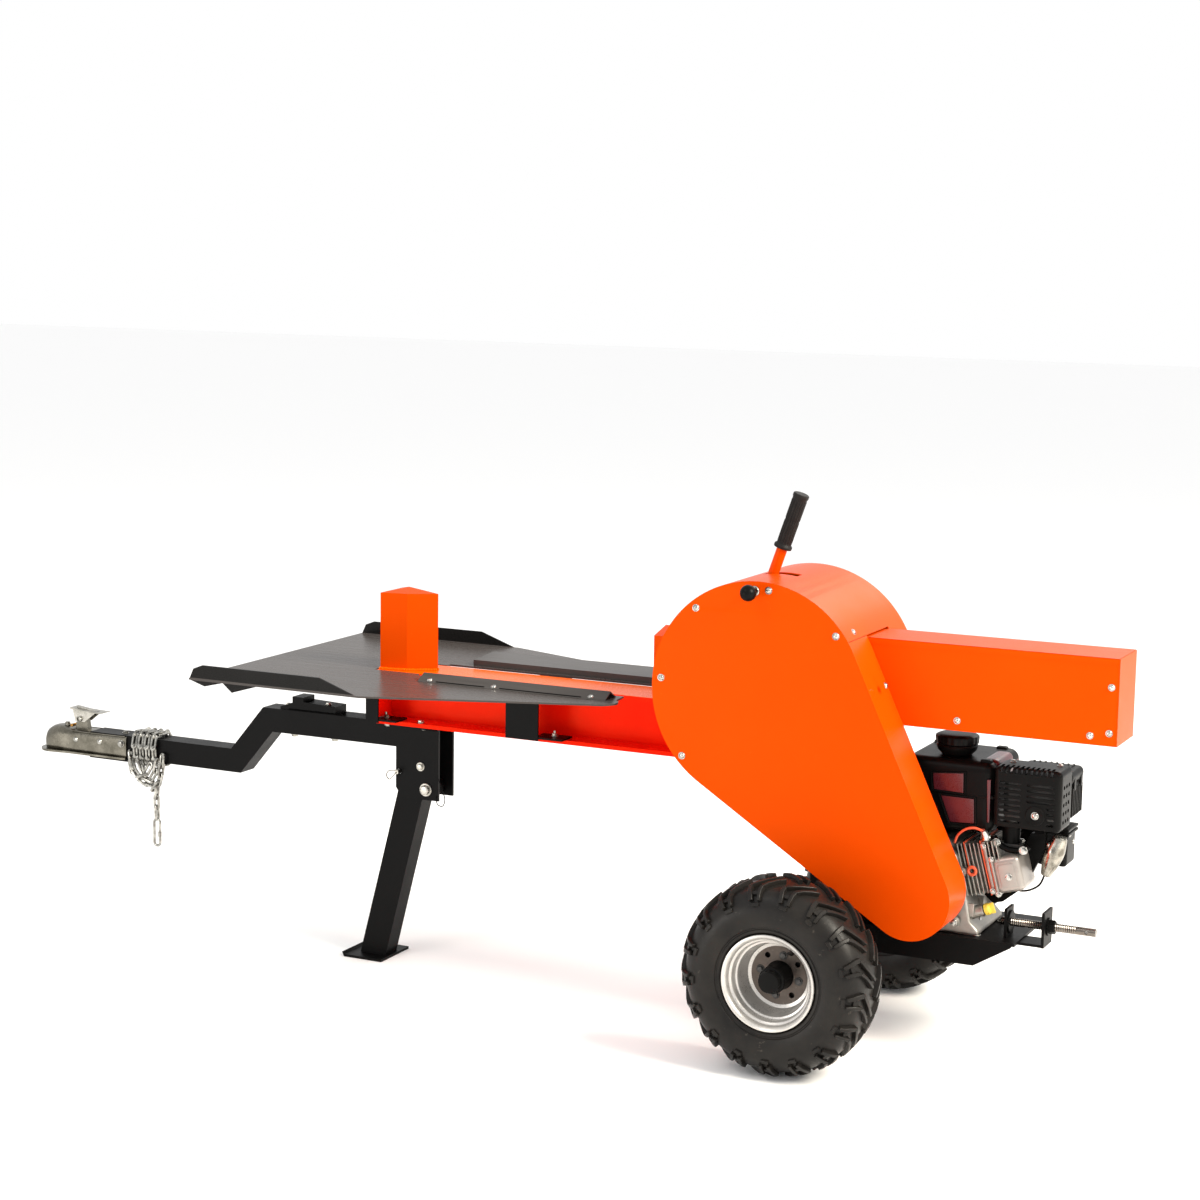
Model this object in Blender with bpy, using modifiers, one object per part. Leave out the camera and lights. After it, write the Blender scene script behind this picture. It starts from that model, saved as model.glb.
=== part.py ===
"""Kinetic log splitter on two wheels: a flywheel machine that drives a rack and push block at a fixed wedge.

Everything is modelled in the machine's own axes under one empty that stands on the ground below the wheel
axle: +X runs towards the engine end, the wedge and the ball coupler are at -X, and the belt guard is at -Y.
"""

import math

import bmesh
import bpy
from mathutils import Matrix, Vector

NAME = "log_splitter"
GAP = 0.0003

# Driving dimensions, in metres. X positions are measured from the wheel axle.
AXLE_X = 0.75
AXLE_Z = 0.213
WHEEL_R = 0.203
# Heights are drawn from a level just under the ground, and the whole machine is lowered by this much.
GROUND = AXLE_Z - WHEEL_R
WHEEL_Y = 0.33
NOSE_X = -2.09
COVER_END_X = 0.59

BEAM_FRONT = -1.103
BEAM_REAR = 0.06
BEAM_TOP = 0.692
BEAM_H = 0.123
BEAM_HALF = 0.062
FLANGE_T = 0.009
WEB_T = 0.007

WEDGE_TIP = -0.978
WEDGE_TOP = 0.867

TABLE_FRONT = -1.40
TABLE_REAR = -0.455
TABLE_HALF = 0.367
TABLE_T = 0.004
TABLE_TOP = 0.693
RIM_TOP = 0.724
RIM_END = -0.964

DRUM_X = -0.1323
DRUM_Z = 0.746
DRUM_R = 0.2332
CRANK_X = 0.207
CRANK_Z = 0.36
NOSE_R = 0.089
GUARD_FACE = -0.176
GUARD_BACK = -0.0665
COVER_FAR = 0.160
SHEET = 0.003
SEAM_DEG = 32.0
COVER_FRONT_DEG = 150.0

BOX_HALF = 0.066
BOX_BOTTOM = 0.690
BOX_TOP = 0.865
BOX_START = 0.069

RAM_FRONT = -0.415
RAM_BACK = -0.335
RACK_BOTTOM = 0.7725
RACK_TOP = 0.804
RACK_END = 0.47

LEVER_X = -0.196
LEVER_Z = 0.865
LEVER_Y = -0.03
LEVER_LEAN = math.radians(19)
ROLLER_X = -0.151
ROLLER_Z = 0.832

TUBE = 0.056
TONGUE_LOW_Z = 0.432
TONGUE_HIGH_Z = 0.540

LEG_PIVOT_X = -0.987
LEG_PIVOT_Z = 0.422
LEG_AXIS_X = -1.030
LEG_SLANT = math.radians(14.1)
LEG_PIN_X = -1.058
LEG_PIN_Z = 0.457
LEG_KEEP_R = 0.067

BELT_Y = -0.136
BELT_HALF = 0.0055
KNOB_X = -0.139
KNOB_Z = 0.959
SCREW_Z = 0.291

ENGINE_FLOOR = 0.262
CYLINDER_TILT = math.radians(15)

COLOURS = {
    "orange": ((0.90, 0.13, 0.008), 0.35, 0.0),
    "red_orange": ((0.78, 0.06, 0.01), 0.35, 0.0),
    "black": ((0.015, 0.015, 0.016), 0.45, 0.0),
    "gunmetal": ((0.10, 0.095, 0.09), 0.30, 0.6),
    "steel": ((0.55, 0.54, 0.52), 0.35, 1.0),
    "cast": ((0.32, 0.32, 0.32), 0.50, 0.8),
    "rubber": ((0.02, 0.02, 0.02), 0.80, 0.0),
    "yellow": ((0.80, 0.62, 0.05), 0.45, 0.0),
}


# ---------------------------------------------------------------- scene and helpers


def clear_scene():
    for obj in list(bpy.data.objects):
        bpy.data.objects.remove(obj, do_unlink=True)
    parts = bpy.data.collections.new(NAME)
    bpy.context.scene.collection.children.link(parts)
    base = bpy.data.objects.new("machine", None)
    base.location = (AXLE_X, 0, -GROUND)
    parts.objects.link(base)
    return parts, base


PARTS, BASE = clear_scene()


def material(name):
    found = bpy.data.materials.get(name)
    if found:
        return found
    colour, roughness, metallic = COLOURS[name]
    made = bpy.data.materials.new(name)
    made.use_nodes = True
    shader = made.node_tree.nodes["Principled BSDF"]
    shader.inputs["Base Color"].default_value = (*colour, 1)
    shader.inputs["Roughness"].default_value = roughness
    shader.inputs["Metallic"].default_value = metallic
    return made


def link(mesh, name="shape"):
    """A mesh as an object of the machine, in the machine's own axes."""
    obj = bpy.data.objects.new(name, mesh)
    PARTS.objects.link(obj)
    obj.parent = BASE
    return obj


def from_bmesh(bm):
    mesh = bpy.data.meshes.new("shape")
    bm.normal_update()
    bm.to_mesh(mesh)
    bm.free()
    return link(mesh)


def box(low, high):
    """A block between two corners."""
    bm = bmesh.new()
    bmesh.ops.create_cube(bm, size=1)
    low, high = Vector(low), Vector(high)
    size, middle = high - low, (high + low) / 2
    for vert in bm.verts:
        vert.co = Vector(a * b for a, b in zip(vert.co, size)) + middle
    return from_bmesh(bm)


def rod(start, end, radius, sides=16, end_radius=None):
    """A cylinder or a cone from one point to another."""
    start, end = Vector(start), Vector(end)
    along = end - start
    bm = bmesh.new()
    top = radius if end_radius is None else end_radius
    bmesh.ops.create_cone(
        bm, cap_ends=True, segments=sides, radius1=radius, radius2=top, depth=along.length
    )
    turn = Vector((0, 0, 1)).rotation_difference(along.normalized()).to_matrix().to_4x4()
    bm.transform(Matrix.Translation((start + end) / 2) @ turn)
    return from_bmesh(bm)


def baked(obj):
    """The same object with its modifiers, or its curve, made into a plain mesh."""
    bpy.context.view_layer.update()
    graph = bpy.context.evaluated_depsgraph_get()
    mesh = bpy.data.meshes.new_from_object(obj.evaluated_get(graph))
    if obj.type == "MESH":
        obj.modifiers.clear()
        obj.data = mesh
        return obj
    bm = bmesh.new()
    bm.from_mesh(mesh)
    bmesh.ops.remove_doubles(bm, verts=bm.verts, dist=0.00001)
    bm.to_mesh(mesh)
    bm.free()
    made = link(mesh, obj.name)
    bpy.data.objects.remove(obj, do_unlink=True)
    return made


AXES = {
    "X": Matrix(((0, 0, 1, 0), (1, 0, 0, 0), (0, 1, 0, 0), (0, 0, 0, 1))),
    "Y": Matrix(((1, 0, 0, 0), (0, 0, -1, 0), (0, 1, 0, 0), (0, 0, 0, 1))),
    "Z": Matrix.Identity(4),
}


def plate(outlines, axis, low, high):
    """Flat outlines, the first one outside and any others holes, extruded from low to high along an axis.

    The outline's two coordinates are (y, z) for axis X, (x, z) for axis Y and (x, y) for axis Z.
    """
    curve = bpy.data.curves.new("outline", "CURVE")
    curve.dimensions = "2D"
    curve.fill_mode = "BOTH"
    curve.extrude = (high - low) / 2
    for outline in outlines:
        spline = curve.splines.new("POLY")
        spline.points.add(len(outline) - 1)
        for point, (a, b) in zip(spline.points, outline):
            point.co = (a, b, 0, 1)
        spline.use_cyclic_u = True
    obj = link(curve)
    obj = baked(obj)
    middle = (high + low) / 2
    shift = Matrix.Translation((0, 0, -middle if axis == "Y" else middle))
    obj.data.transform(AXES[axis] @ shift)
    return obj


def turned(profile, centre, steps=32, closed=True):
    """A profile of (radius, height) pairs turned about a line along Y; height runs towards -Y."""
    bm = bmesh.new()
    verts = [bm.verts.new((radius, 0, height)) for radius, height in profile]
    pairs = list(zip(verts, verts[1:]))
    if closed:
        pairs.append((verts[-1], verts[0]))
    for pair in pairs:
        bm.edges.new(pair)
    obj = from_bmesh(bm)
    screw = obj.modifiers.new("turn", "SCREW")
    screw.steps = steps
    screw.render_steps = steps
    screw.use_merge_vertices = True
    screw.merge_threshold = 0.00001
    obj = baked(obj)
    obj.data.transform(Matrix.Translation(centre) @ Matrix.Rotation(math.radians(90), 4, "X"))
    return obj


def ring_profile(outer, inner, low, high):
    """The profile of a plain ring, from height high down to low."""
    return [(outer, high), (outer, low), (inner, low), (inner, high)]


def wire(points, radius, sides=2):
    """A round bar through points."""
    curve = bpy.data.curves.new("wire", "CURVE")
    curve.dimensions = "3D"
    curve.bevel_depth = radius
    curve.bevel_resolution = sides
    curve.use_fill_caps = True
    spline = curve.splines.new("POLY")
    spline.points.add(len(points) - 1)
    for point, place in zip(spline.points, points):
        point.co = (*place, 1)
    return baked(link(curve))


def combine(target, others, operation="UNION"):
    """Joins other shapes to a shape, or cuts them out of it, and removes them."""
    for other in others:
        step = target.modifiers.new("boolean", "BOOLEAN")
        step.operation = operation
        step.object = other
        target = baked(target)
        bpy.data.objects.remove(other, do_unlink=True)
    return target


def cut(target, *others):
    return combine(target, others, "DIFFERENCE")


def joined(target, *others):
    return combine(target, others)


def bevelled(obj, width, segments=1, angle=40):
    step = obj.modifiers.new("edge", "BEVEL")
    step.width = width
    step.segments = segments
    step.limit_method = "ANGLE"
    step.angle_limit = math.radians(angle)
    return baked(obj)


def finish(obj, name, colour, pivot=None):
    """Names a finished part, gives it its material and puts its origin on its joint."""
    obj.name = name
    obj.data.name = name
    obj.data.materials.clear()
    obj.data.materials.append(material(colour))
    obj.data.shade_smooth()
    obj.data.set_sharp_from_angle(angle=math.radians(35))
    if pivot is not None:
        obj.data.transform(Matrix.Translation(-Vector(pivot)))
        obj.location = pivot
    return obj


def polar(centre, radius, degrees):
    angle = math.radians(degrees)
    return (centre[0] + radius * math.cos(angle), centre[1] + radius * math.sin(angle))


def arc(centre, radius, start, end, steps):
    """Points round a centre, from one angle in degrees to another."""
    return [polar(centre, radius, start + (end - start) * i / steps) for i in range(steps + 1)]


def belt_outline(inset, steps=40):
    """The outline round the drum circle and the crank circle with their two tangents, inset all round."""
    drum, crank = Vector((DRUM_X, DRUM_Z)), Vector((CRANK_X, CRANK_Z))
    big, small = DRUM_R - inset, NOSE_R - inset
    return loop_outline(drum, big, crank, small, steps)


def loop_outline(first, big, second, small, steps):
    """The outline round two circles and their outer tangents."""
    along = second - first
    heading = math.degrees(math.atan2(along.y, along.x))
    lean = math.degrees(math.acos((big - small) / along.length))
    big_steps = round(steps * (1 - lean / 180))
    outline = arc(first, big, heading + lean, heading - lean + 360, big_steps)
    return outline + arc(second, small, heading - lean, heading + lean, steps - big_steps)


def band(path, half):
    """The outline of a strip of even width along a path of (a, b) points, mitred at its bends."""
    path = [Vector(p) for p in path]
    left, right = [], []
    for i, point in enumerate(path):
        before = (point - path[i - 1]).normalized() if i else None
        after = (path[i + 1] - point).normalized() if i + 1 < len(path) else None
        heading = ((before or after) + (after or before)).normalized()
        normal = Vector((-heading.y, heading.x))
        side = after or before
        reach = half / normal.dot(Vector((-side.y, side.x)))
        left.append(tuple(point + normal * reach))
        right.append(tuple(point - normal * reach))
    return left + right[::-1]


# ---------------------------------------------------------------- beam, wedge and table


def make_beam():
    """The H section with a plate across its hitch end, cut away for the table's feet."""
    bottom = BEAM_TOP - BEAM_H
    beam = box((BEAM_FRONT, -BEAM_HALF, bottom), (BEAM_REAR, BEAM_HALF, BEAM_TOP))
    pockets = []
    for side in (-1, 1):
        near, far = sorted((side * WEB_T / 2, side * (BEAM_HALF + 0.01)))
        low = (BEAM_FRONT + 0.006, near, bottom + FLANGE_T)
        pockets.append(box(low, (BEAM_REAR + 0.01, far, BEAM_TOP - FLANGE_T)))
        near, far = sorted((side * 0.0295, side * (BEAM_HALF + 0.01)))
        foot_room = (BEAM_FRONT + 0.01, far, bottom + FLANGE_T + 0.005)
        pockets.append(box((BEAM_FRONT - 0.01, near, bottom + FLANGE_T), foot_room))
    finish(cut(beam, *pockets), "beam", "red_orange")


def make_wedge():
    """A steel wedge with its edge towards the push block, flared in two stages, with a low hipped top."""
    shoulder, back = WEDGE_TIP - 0.060, WEDGE_TIP - 0.122
    plan = [(WEDGE_TIP, 0), (shoulder, 0.036), (back, 0.049), (back, -0.049), (shoulder, -0.036)]
    block = plate([plan], "Z", BEAM_TOP + GAP, WEDGE_TOP)
    bm = bmesh.new()
    bm.from_mesh(block.data)
    crown = [f for f in bm.faces if f.normal.z > 0.9]
    top = bmesh.ops.dissolve_faces(bm, faces=crown)["region"]
    peak = bmesh.ops.poke(bm, faces=top)["verts"][0]
    peak.co.z += 0.011
    bm.to_mesh(block.data)
    bm.free()
    finish(block, "wedge", "orange")


def make_table():
    """The folded sheet round the beam, with turned-up rims, a lip at the front and a cross angle below."""
    near_taper = (-0.475, -0.187)
    outer = [(TABLE_FRONT, -TABLE_HALF), (RIM_END, -TABLE_HALF), near_taper]
    outer += arc((TABLE_REAR - 0.03, -0.155), 0.03, -45, 60, 4)
    outer += [(TABLE_REAR - 0.02, -0.080), (-0.99, -0.080), (-0.99, -0.065), (-1.106, -0.065)]
    outline = outer + [(x, -y) for x, y in reversed(outer)]
    sheet = plate([outline], "Z", TABLE_TOP - TABLE_T, TABLE_TOP)
    rim = [
        (TABLE_FRONT, TABLE_TOP - TABLE_T),
        (TABLE_FRONT + 0.012, RIM_TOP - 0.009),
        (TABLE_FRONT + 0.035, RIM_TOP),
        (-1.065, RIM_TOP),
        (RIM_END, TABLE_TOP - TABLE_T),
    ]
    lip = [
        (TABLE_FRONT, TABLE_TOP - TABLE_T + 0.0002),
        (TABLE_FRONT + 0.040, TABLE_TOP - 0.016),
        (TABLE_FRONT + 0.090, TABLE_TOP - TABLE_T + 0.0002),
    ]
    cross = [
        (-1.315, TABLE_TOP - TABLE_T + 0.0002),
        (-1.290, TABLE_TOP - 0.024),
        (-1.222, TABLE_TOP - TABLE_T + 0.0002),
    ]
    solids = [
        plate([rim], "Y", TABLE_HALF - TABLE_T, TABLE_HALF),
        plate([rim], "Y", -TABLE_HALF, -TABLE_HALF + TABLE_T),
        plate([lip], "Y", -TABLE_HALF + 0.002, TABLE_HALF - 0.002),
        plate([cross], "Y", -TABLE_HALF + 0.004, TABLE_HALF - 0.004),
    ]
    finish(joined(sheet, *solids), "log_table", "gunmetal")


def make_log_guides():
    low = TABLE_TOP + GAP
    near = [(-0.150, low), (-0.121, low + 0.016), (-0.094, low)]
    near += [(-0.098, low), (-0.121, low + 0.0125), (-0.144, low)]
    finish(plate([near], "X", -0.945, -0.487), "log_guide_near", "gunmetal")
    far = [(0.094, low), (0.098, low), (0.098, low + 0.009)]
    far += [(0.248, low + 0.004), (0.252, low + 0.007), (0.094, low + 0.013)]
    strip = plate([far], "X", -0.975, TABLE_REAR - 0.005)
    slant = plate([[(-1.0, 0.08), (-0.935, 0.08), (-0.972, 0.26), (-1.0, 0.26)]], "Z", 0.6, 0.8)
    finish(cut(strip, slant), "log_guide_far", "gunmetal")


def make_table_brackets():
    """Four folded brackets that stand on the beam's bottom flange and carry the table."""
    foot_z = BEAM_TOP - BEAM_H + FLANGE_T + GAP
    places = {"front": (-1.118, -1.086, -1.040), "rear": (-0.760, -0.680, -0.622)}
    for end, (left, right, foot) in places.items():
        for side, name in ((-1, "near"), (1, "far")):
            edges = sorted((side * 0.079, side * 0.083))
            wall = box((left, edges[0], foot_z - 0.004), (right, edges[1], TABLE_TOP - TABLE_T - GAP))
            reach = sorted((side * 0.030, side * 0.0815))
            tab = box((right - 0.012, reach[0], foot_z), (foot, reach[1], foot_z + 0.004))
            finish(joined(wall, tab), f"table_bracket_{end}_{name}", "black")


# ---------------------------------------------------------------- tongue, coupler and leg


def make_tongue():
    front, rear = -1.930, -1.070
    path = [
        (front, TONGUE_LOW_Z),
        (-1.508, TONGUE_LOW_Z),
        (-1.418, TONGUE_HIGH_Z),
        (rear, TONGUE_HIGH_Z),
    ]
    tube = plate([band(path, TUBE / 2)], "Y", -TUBE / 2, TUBE / 2)
    path[0] = (front - 0.01, TONGUE_LOW_Z)
    path[-1] = (rear + 0.01, TONGUE_HIGH_Z)
    bore = TUBE / 2 - 0.004
    inside = plate([band(path, bore)], "Y", -bore, bore)
    finish(cut(tube, inside), "tongue", "black")
    low = TONGUE_HIGH_Z + TUBE / 2 + GAP
    outline = [(-1.385, low), (-1.235, low), (-1.235, low + 0.018), (-1.34, low + 0.022), (-1.385, low + 0.006)]
    saddle = plate([outline], "Y", -0.024, 0.024)
    cap = box((-1.352, -0.024, low + 0.010), (-1.322, 0.024, low + 0.032))
    finish(joined(saddle, cap), "tongue_saddle", "black")


def make_coupler():
    """A stamped ball coupler: a channel over the tongue that ends in a round socket with a flange."""
    top = TONGUE_LOW_Z + TUBE / 2 + 0.0045
    low = TONGUE_LOW_Z - TUBE / 2 + 0.0015
    ball_x = NOSE_X + 0.050
    side = TUBE / 2 + 0.005
    channel = box((ball_x, -side, low), (-1.820, side, top))
    channel = bevelled(channel, 0.006, 1, 60)
    dome = rod((ball_x, 0, low), (ball_x, 0, top - 0.010), 0.040, 24)
    crown = rod((ball_x, 0, top - 0.0105), (ball_x, 0, top), 0.040, 24, 0.026)
    skirt = arc((ball_x, 0), 0.050, 90, 270, 12)
    skirt += [(-1.99, -0.046), (-1.826, -0.046), (-1.820, -0.040)]
    skirt += [(-1.820, 0.040), (-1.826, 0.046), (-1.99, 0.046)]
    flange = plate([skirt], "Z", low - 0.0035, low + 0.0015)
    body = joined(channel, dome, crown, flange)
    lug = box((-1.988, -0.008, top - 0.002), (-1.956, 0.008, top + 0.030))
    body = joined(body, lug)
    pin_z = top + 0.020
    bolt = rod((-1.972, -0.02, pin_z), (-1.972, 0.02, pin_z), 0.0046, 12)
    slot = TUBE / 2 + GAP
    tube_room = box((-1.9305, -slot, 0.2), (-1.80, slot, top - 0.0042))
    sphere = bmesh.new()
    bmesh.ops.create_uvsphere(sphere, u_segments=16, v_segments=8, radius=0.0258)
    bmesh.ops.translate(sphere, verts=sphere.verts, vec=(ball_x, 0, 0.428))
    mouth = rod((ball_x, 0, 0.2), (ball_x, 0, 0.430), 0.0262, 16)
    body = cut(body, tube_room, joined(from_bmesh(sphere), mouth), bolt)
    finish(body, "coupler", "steel")
    return pin_z


def make_coupler_latch(pin_z):
    pivot = (-1.972, 0, pin_z)
    sheet = [(-2.000, pin_z + 0.022), (-1.904, pin_z + 0.017)]
    sheet += [(-1.904, pin_z + 0.021), (-2.000, pin_z + 0.027)]
    paddle = plate([sheet], "Y", -0.017, 0.017)
    arm = [(-1.985, pin_z - 0.006), (-1.958, pin_z - 0.006), (-1.935, pin_z + 0.020), (-1.995, pin_z + 0.023)]
    arms = [plate([arm], "Y", *sorted((s * 0.0085, s * 0.0115))) for s in (-1, 1)]
    pin = rod((-1.972, -0.014, pin_z), (-1.972, 0.014, pin_z), 0.0042, 12)
    finish(joined(paddle, *arms, pin), "coupler_latch", "steel", pivot)


def make_chain():
    """The safety chain as plain solids: the turns round the tongue with the hanging loop, and the free tail."""
    inner, outer = TUBE / 2 + 0.001, TUBE / 2 + 0.014
    ring = []
    for half in (outer, inner):
        ring.append([(s * half, TONGUE_LOW_Z + t * half) for s, t in ((-1, -1), (1, -1), (1, 1), (-1, 1))])
    turns = plate(ring, "X", -1.812, -1.712)
    loop = [(-1.800, 0.394), (-1.712, 0.394), (-1.715, 0.345), (-1.745, 0.335), (-1.785, 0.362)]
    turns = joined(turns, plate([loop], "Y", -0.038, -0.020))
    finish(turns, "safety_chain", "steel")
    pivot = (-1.735, -0.029, 0.333)
    tail = box((-1.745, -0.036, 0.196), (-1.725, -0.022, 0.326))
    finish(bevelled(tail, 0.004), "chain_tail", "steel", pivot)


def make_leg_bracket():
    """Two side plates below the beam, tied by their roof, a spacer and the leg's pivot bolt."""
    top = BEAM_TOP - BEAM_H - GAP
    side = [(-1.066, top), (-0.955, top), (-0.955, 0.398), (-1.050, 0.398), (-1.066, 0.420)]
    plates = [plate([side], "Y", *sorted((s * 0.030, s * 0.036))) for s in (-1, 1)]
    roof = box((-1.066, -0.033, top - 0.006), (-0.955, 0.033, top))
    flange = box((-1.066, -0.060, top - 0.004), (-0.975, 0.060, top))
    spacer = rod((-0.998, -0.032, 0.478), (-0.998, 0.032, 0.478), 0.008, 12)
    drill = rod((LEG_PIN_X, -0.06, LEG_PIN_Z), (LEG_PIN_X, 0.06, LEG_PIN_Z), 0.006, 12)
    bolt = rod((LEG_PIVOT_X, -0.044, LEG_PIVOT_Z), (LEG_PIVOT_X, 0.044, LEG_PIVOT_Z), 0.0065, 12)
    heads = [
        rod((LEG_PIVOT_X, s * 0.035, LEG_PIVOT_Z), (LEG_PIVOT_X, s * 0.0445, LEG_PIVOT_Z), 0.011, 6)
        for s in (-1, 1)
    ]
    frame = cut(joined(plates[0], plates[1], roof, flange), drill)
    finish(joined(frame, spacer, bolt, *heads), "leg_bracket", "black")


def leg_section(reach, end_z, rise):
    """The leg's outline from the side: reach each way from its axis, level at end_z, rise above the pivot."""
    down = Vector((-math.sin(LEG_SLANT), 0, -math.cos(LEG_SLANT)))
    across = Vector((math.cos(LEG_SLANT), 0, -math.sin(LEG_SLANT)))
    start = Vector((LEG_AXIS_X, 0, LEG_PIVOT_Z))
    ends = []
    for side in (-1, 1):
        edge = start + across * side * reach
        ends.append(edge + down * ((edge.z - end_z) / math.cos(LEG_SLANT)))
    tops = [start + across * side * reach - down * rise for side in (1, -1)]
    return [(p.x, p.z) for p in ends + tops]


def make_leg():
    """The square leg with its foot: it swings back and up about its pivot bolt."""
    pivot = (LEG_PIVOT_X, 0, LEG_PIVOT_Z)
    half, depth, wall = 0.0325, 0.025, 0.003
    tube = plate([leg_section(half, GROUND + 0.004, 0.05)], "Y", -depth, depth)
    top = arc((LEG_PIVOT_X, LEG_PIVOT_Z), LEG_KEEP_R, 10, 190, 16)
    keep = plate([[(-0.90, -0.1), *top, (-1.40, LEG_PIVOT_Z - 0.012), (-1.40, -0.1)]], "Y", -0.05, 0.05)
    tube = combine(tube, [keep], "INTERSECT")
    tube = cut(tube, plate([leg_section(half - wall, GROUND + 0.012, 0.06)], "Y", -depth + wall, depth - wall))
    boss = [(-1.012, 0.438), (-0.980, 0.438), (-0.972, 0.425), (-0.975, 0.408), (-1.020, 0.385)]
    boss = plate([boss], "Y", -depth - 0.001, depth + 0.001)
    middle = LEG_AXIS_X - LEG_PIVOT_Z * math.tan(LEG_SLANT)
    foot = [(-0.057, 0.011), (-0.052, 0), (0.048, 0), (0.048, 0.006), (-0.050, 0.006), (-0.054, 0.012)]
    foot = [(middle + x, GROUND + z) for x, z in foot]
    bore = rod((LEG_PIVOT_X, -0.05, LEG_PIVOT_Z), (LEG_PIVOT_X, 0.05, LEG_PIVOT_Z), 0.0072, 12)
    leg = joined(tube, boss, plate([foot], "Y", -0.063, 0.063))
    finish(cut(leg, bore), "jack_leg", "black", pivot)
    pin = rod((LEG_PIN_X, -0.048, LEG_PIN_Z), (LEG_PIN_X, 0.058, LEG_PIN_Z), 0.005, 12)
    bar = rod((LEG_PIN_X, 0.053, LEG_PIN_Z - 0.02), (LEG_PIN_X, 0.053, LEG_PIN_Z + 0.02), 0.004, 8)
    finish(joined(pin, bar), "leg_lock_pin", "steel", (LEG_PIN_X, 0, LEG_PIN_Z))


# ---------------------------------------------------------------- wheels and frame


def make_wheels():
    axle_z = AXLE_Z
    beam = box((-0.020, -0.235, axle_z - 0.020), (0.020, 0.235, axle_z + 0.020))
    spindles = [
        rod((0, s * 0.234, axle_z), (0, s * 0.392, axle_z), 0.0125, 20) for s in (-1, 1)
    ]
    finish(joined(beam, *spindles), "axle", "black")
    tread = [
        (0.100, 0.070), (0.142, 0.083), (0.177, 0.078), (0.190, 0.062), (0.200, 0.035), (WHEEL_R, 0.0),
        (0.200, -0.035), (0.190, -0.062), (0.177, -0.078), (0.142, -0.083), (0.100, -0.070), (0.100, 0.0),
    ]
    rim = [
        (0.093, 0.076), (0.099, 0.076), (0.099, 0.070), (0.090, 0.062), (0.090, -0.062), (0.099, -0.070),
        (0.099, -0.076), (0.093, -0.076), (0.085, -0.062), (0.085, 0.000), (0.0235, 0.000), (0.0235, -0.030),
        (0.0135, -0.030), (0.0135, 0.060), (0.0235, 0.060), (0.0235, 0.006), (0.085, 0.006), (0.085, 0.062),
    ]
    for side, name in ((-1, "near"), (1, "far")):
        hub = (0, side * WHEEL_Y, axle_z)
        tyre = turned(tread, (0, 0, 0), 32)
        wheel = turned(rim, (0, 0, 0), 16)
        for shape in (tyre, wheel):
            if side > 0:
                shape.data.transform(Matrix.Rotation(math.pi, 4, "Z"))
            shape.data.transform(Matrix.Translation(hub))
        finish(tyre, f"tyre_{name}", "rubber", hub)
        finish(wheel, f"rim_{name}", "steel", hub)


def make_frame():
    """Two side plates that carry the beam on the axle and the engine base."""
    top = BEAM_TOP - BEAM_H - GAP
    low = ENGINE_FLOOR + GAP
    side = [(-0.200, top), (0.055, top), (0.055, 0.420), (0.096, 0.300), (0.096, low)]
    side += [(-0.048, low), (-0.048, 0.360), (-0.145, 0.440)]
    plates = [plate([side], "Y", *sorted((s * 0.046, s * 0.052))) for s in (-1, 1)]
    brace = box((-0.044, -0.050, low), (0.090, 0.050, low + 0.006))
    upper = box((-0.190, -0.050, top - 0.006), (0.050, 0.050, top))
    finish(joined(plates[0], plates[1], brace, upper), "frame_post", "black")


def make_engine_base():
    """The folded deck on the axle, with the lug and the end tab that hold the belt tension screw."""
    top, low = ENGINE_FLOOR, 0.205
    deck = box((-0.080, -0.062, top - 0.006), (0.400, 0.170, top))
    skirt = [(0.030, top), (0.400, top), (0.392, top - 0.010), (0.315, low), (0.030, low)]
    sides = [plate([skirt], "Y", y, y + 0.006) for y in (-0.062, 0.164)]
    seat = box((-0.022, -0.055, AXLE_Z + 0.020 + GAP), (0.022, 0.055, top - 0.003))
    runner = box((0.395, -0.028, top - 0.010), (0.450, 0.028, top - 0.004))
    tab = box((0.446, -0.030, top - 0.010), (0.452, 0.030, 0.325))
    lug = box((0.366, -0.024, top - 0.002), (0.372, 0.024, 0.322))
    drill = rod((0.34, 0, SCREW_Z), (0.47, 0, SCREW_Z), 0.0092, 12)
    base = joined(deck, *sides, seat, runner, tab, lug)
    finish(cut(base, drill), "engine_base", "black")


def make_tension_screw():
    screw = rod((0.352, 0, SCREW_Z), (0.551, 0, SCREW_Z), 0.0085, 16)
    nut = rod((0.4535, 0, SCREW_Z), (0.467, 0, SCREW_Z), 0.0150, 6)
    hole = rod((0.530, -0.02, SCREW_Z), (0.530, 0.02, SCREW_Z), 0.003, 8)
    finish(cut(joined(screw, nut), hole), "tension_screw", "steel", (0.45, 0, SCREW_Z))


# ---------------------------------------------------------------- push block, rack, flywheels and lever


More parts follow.
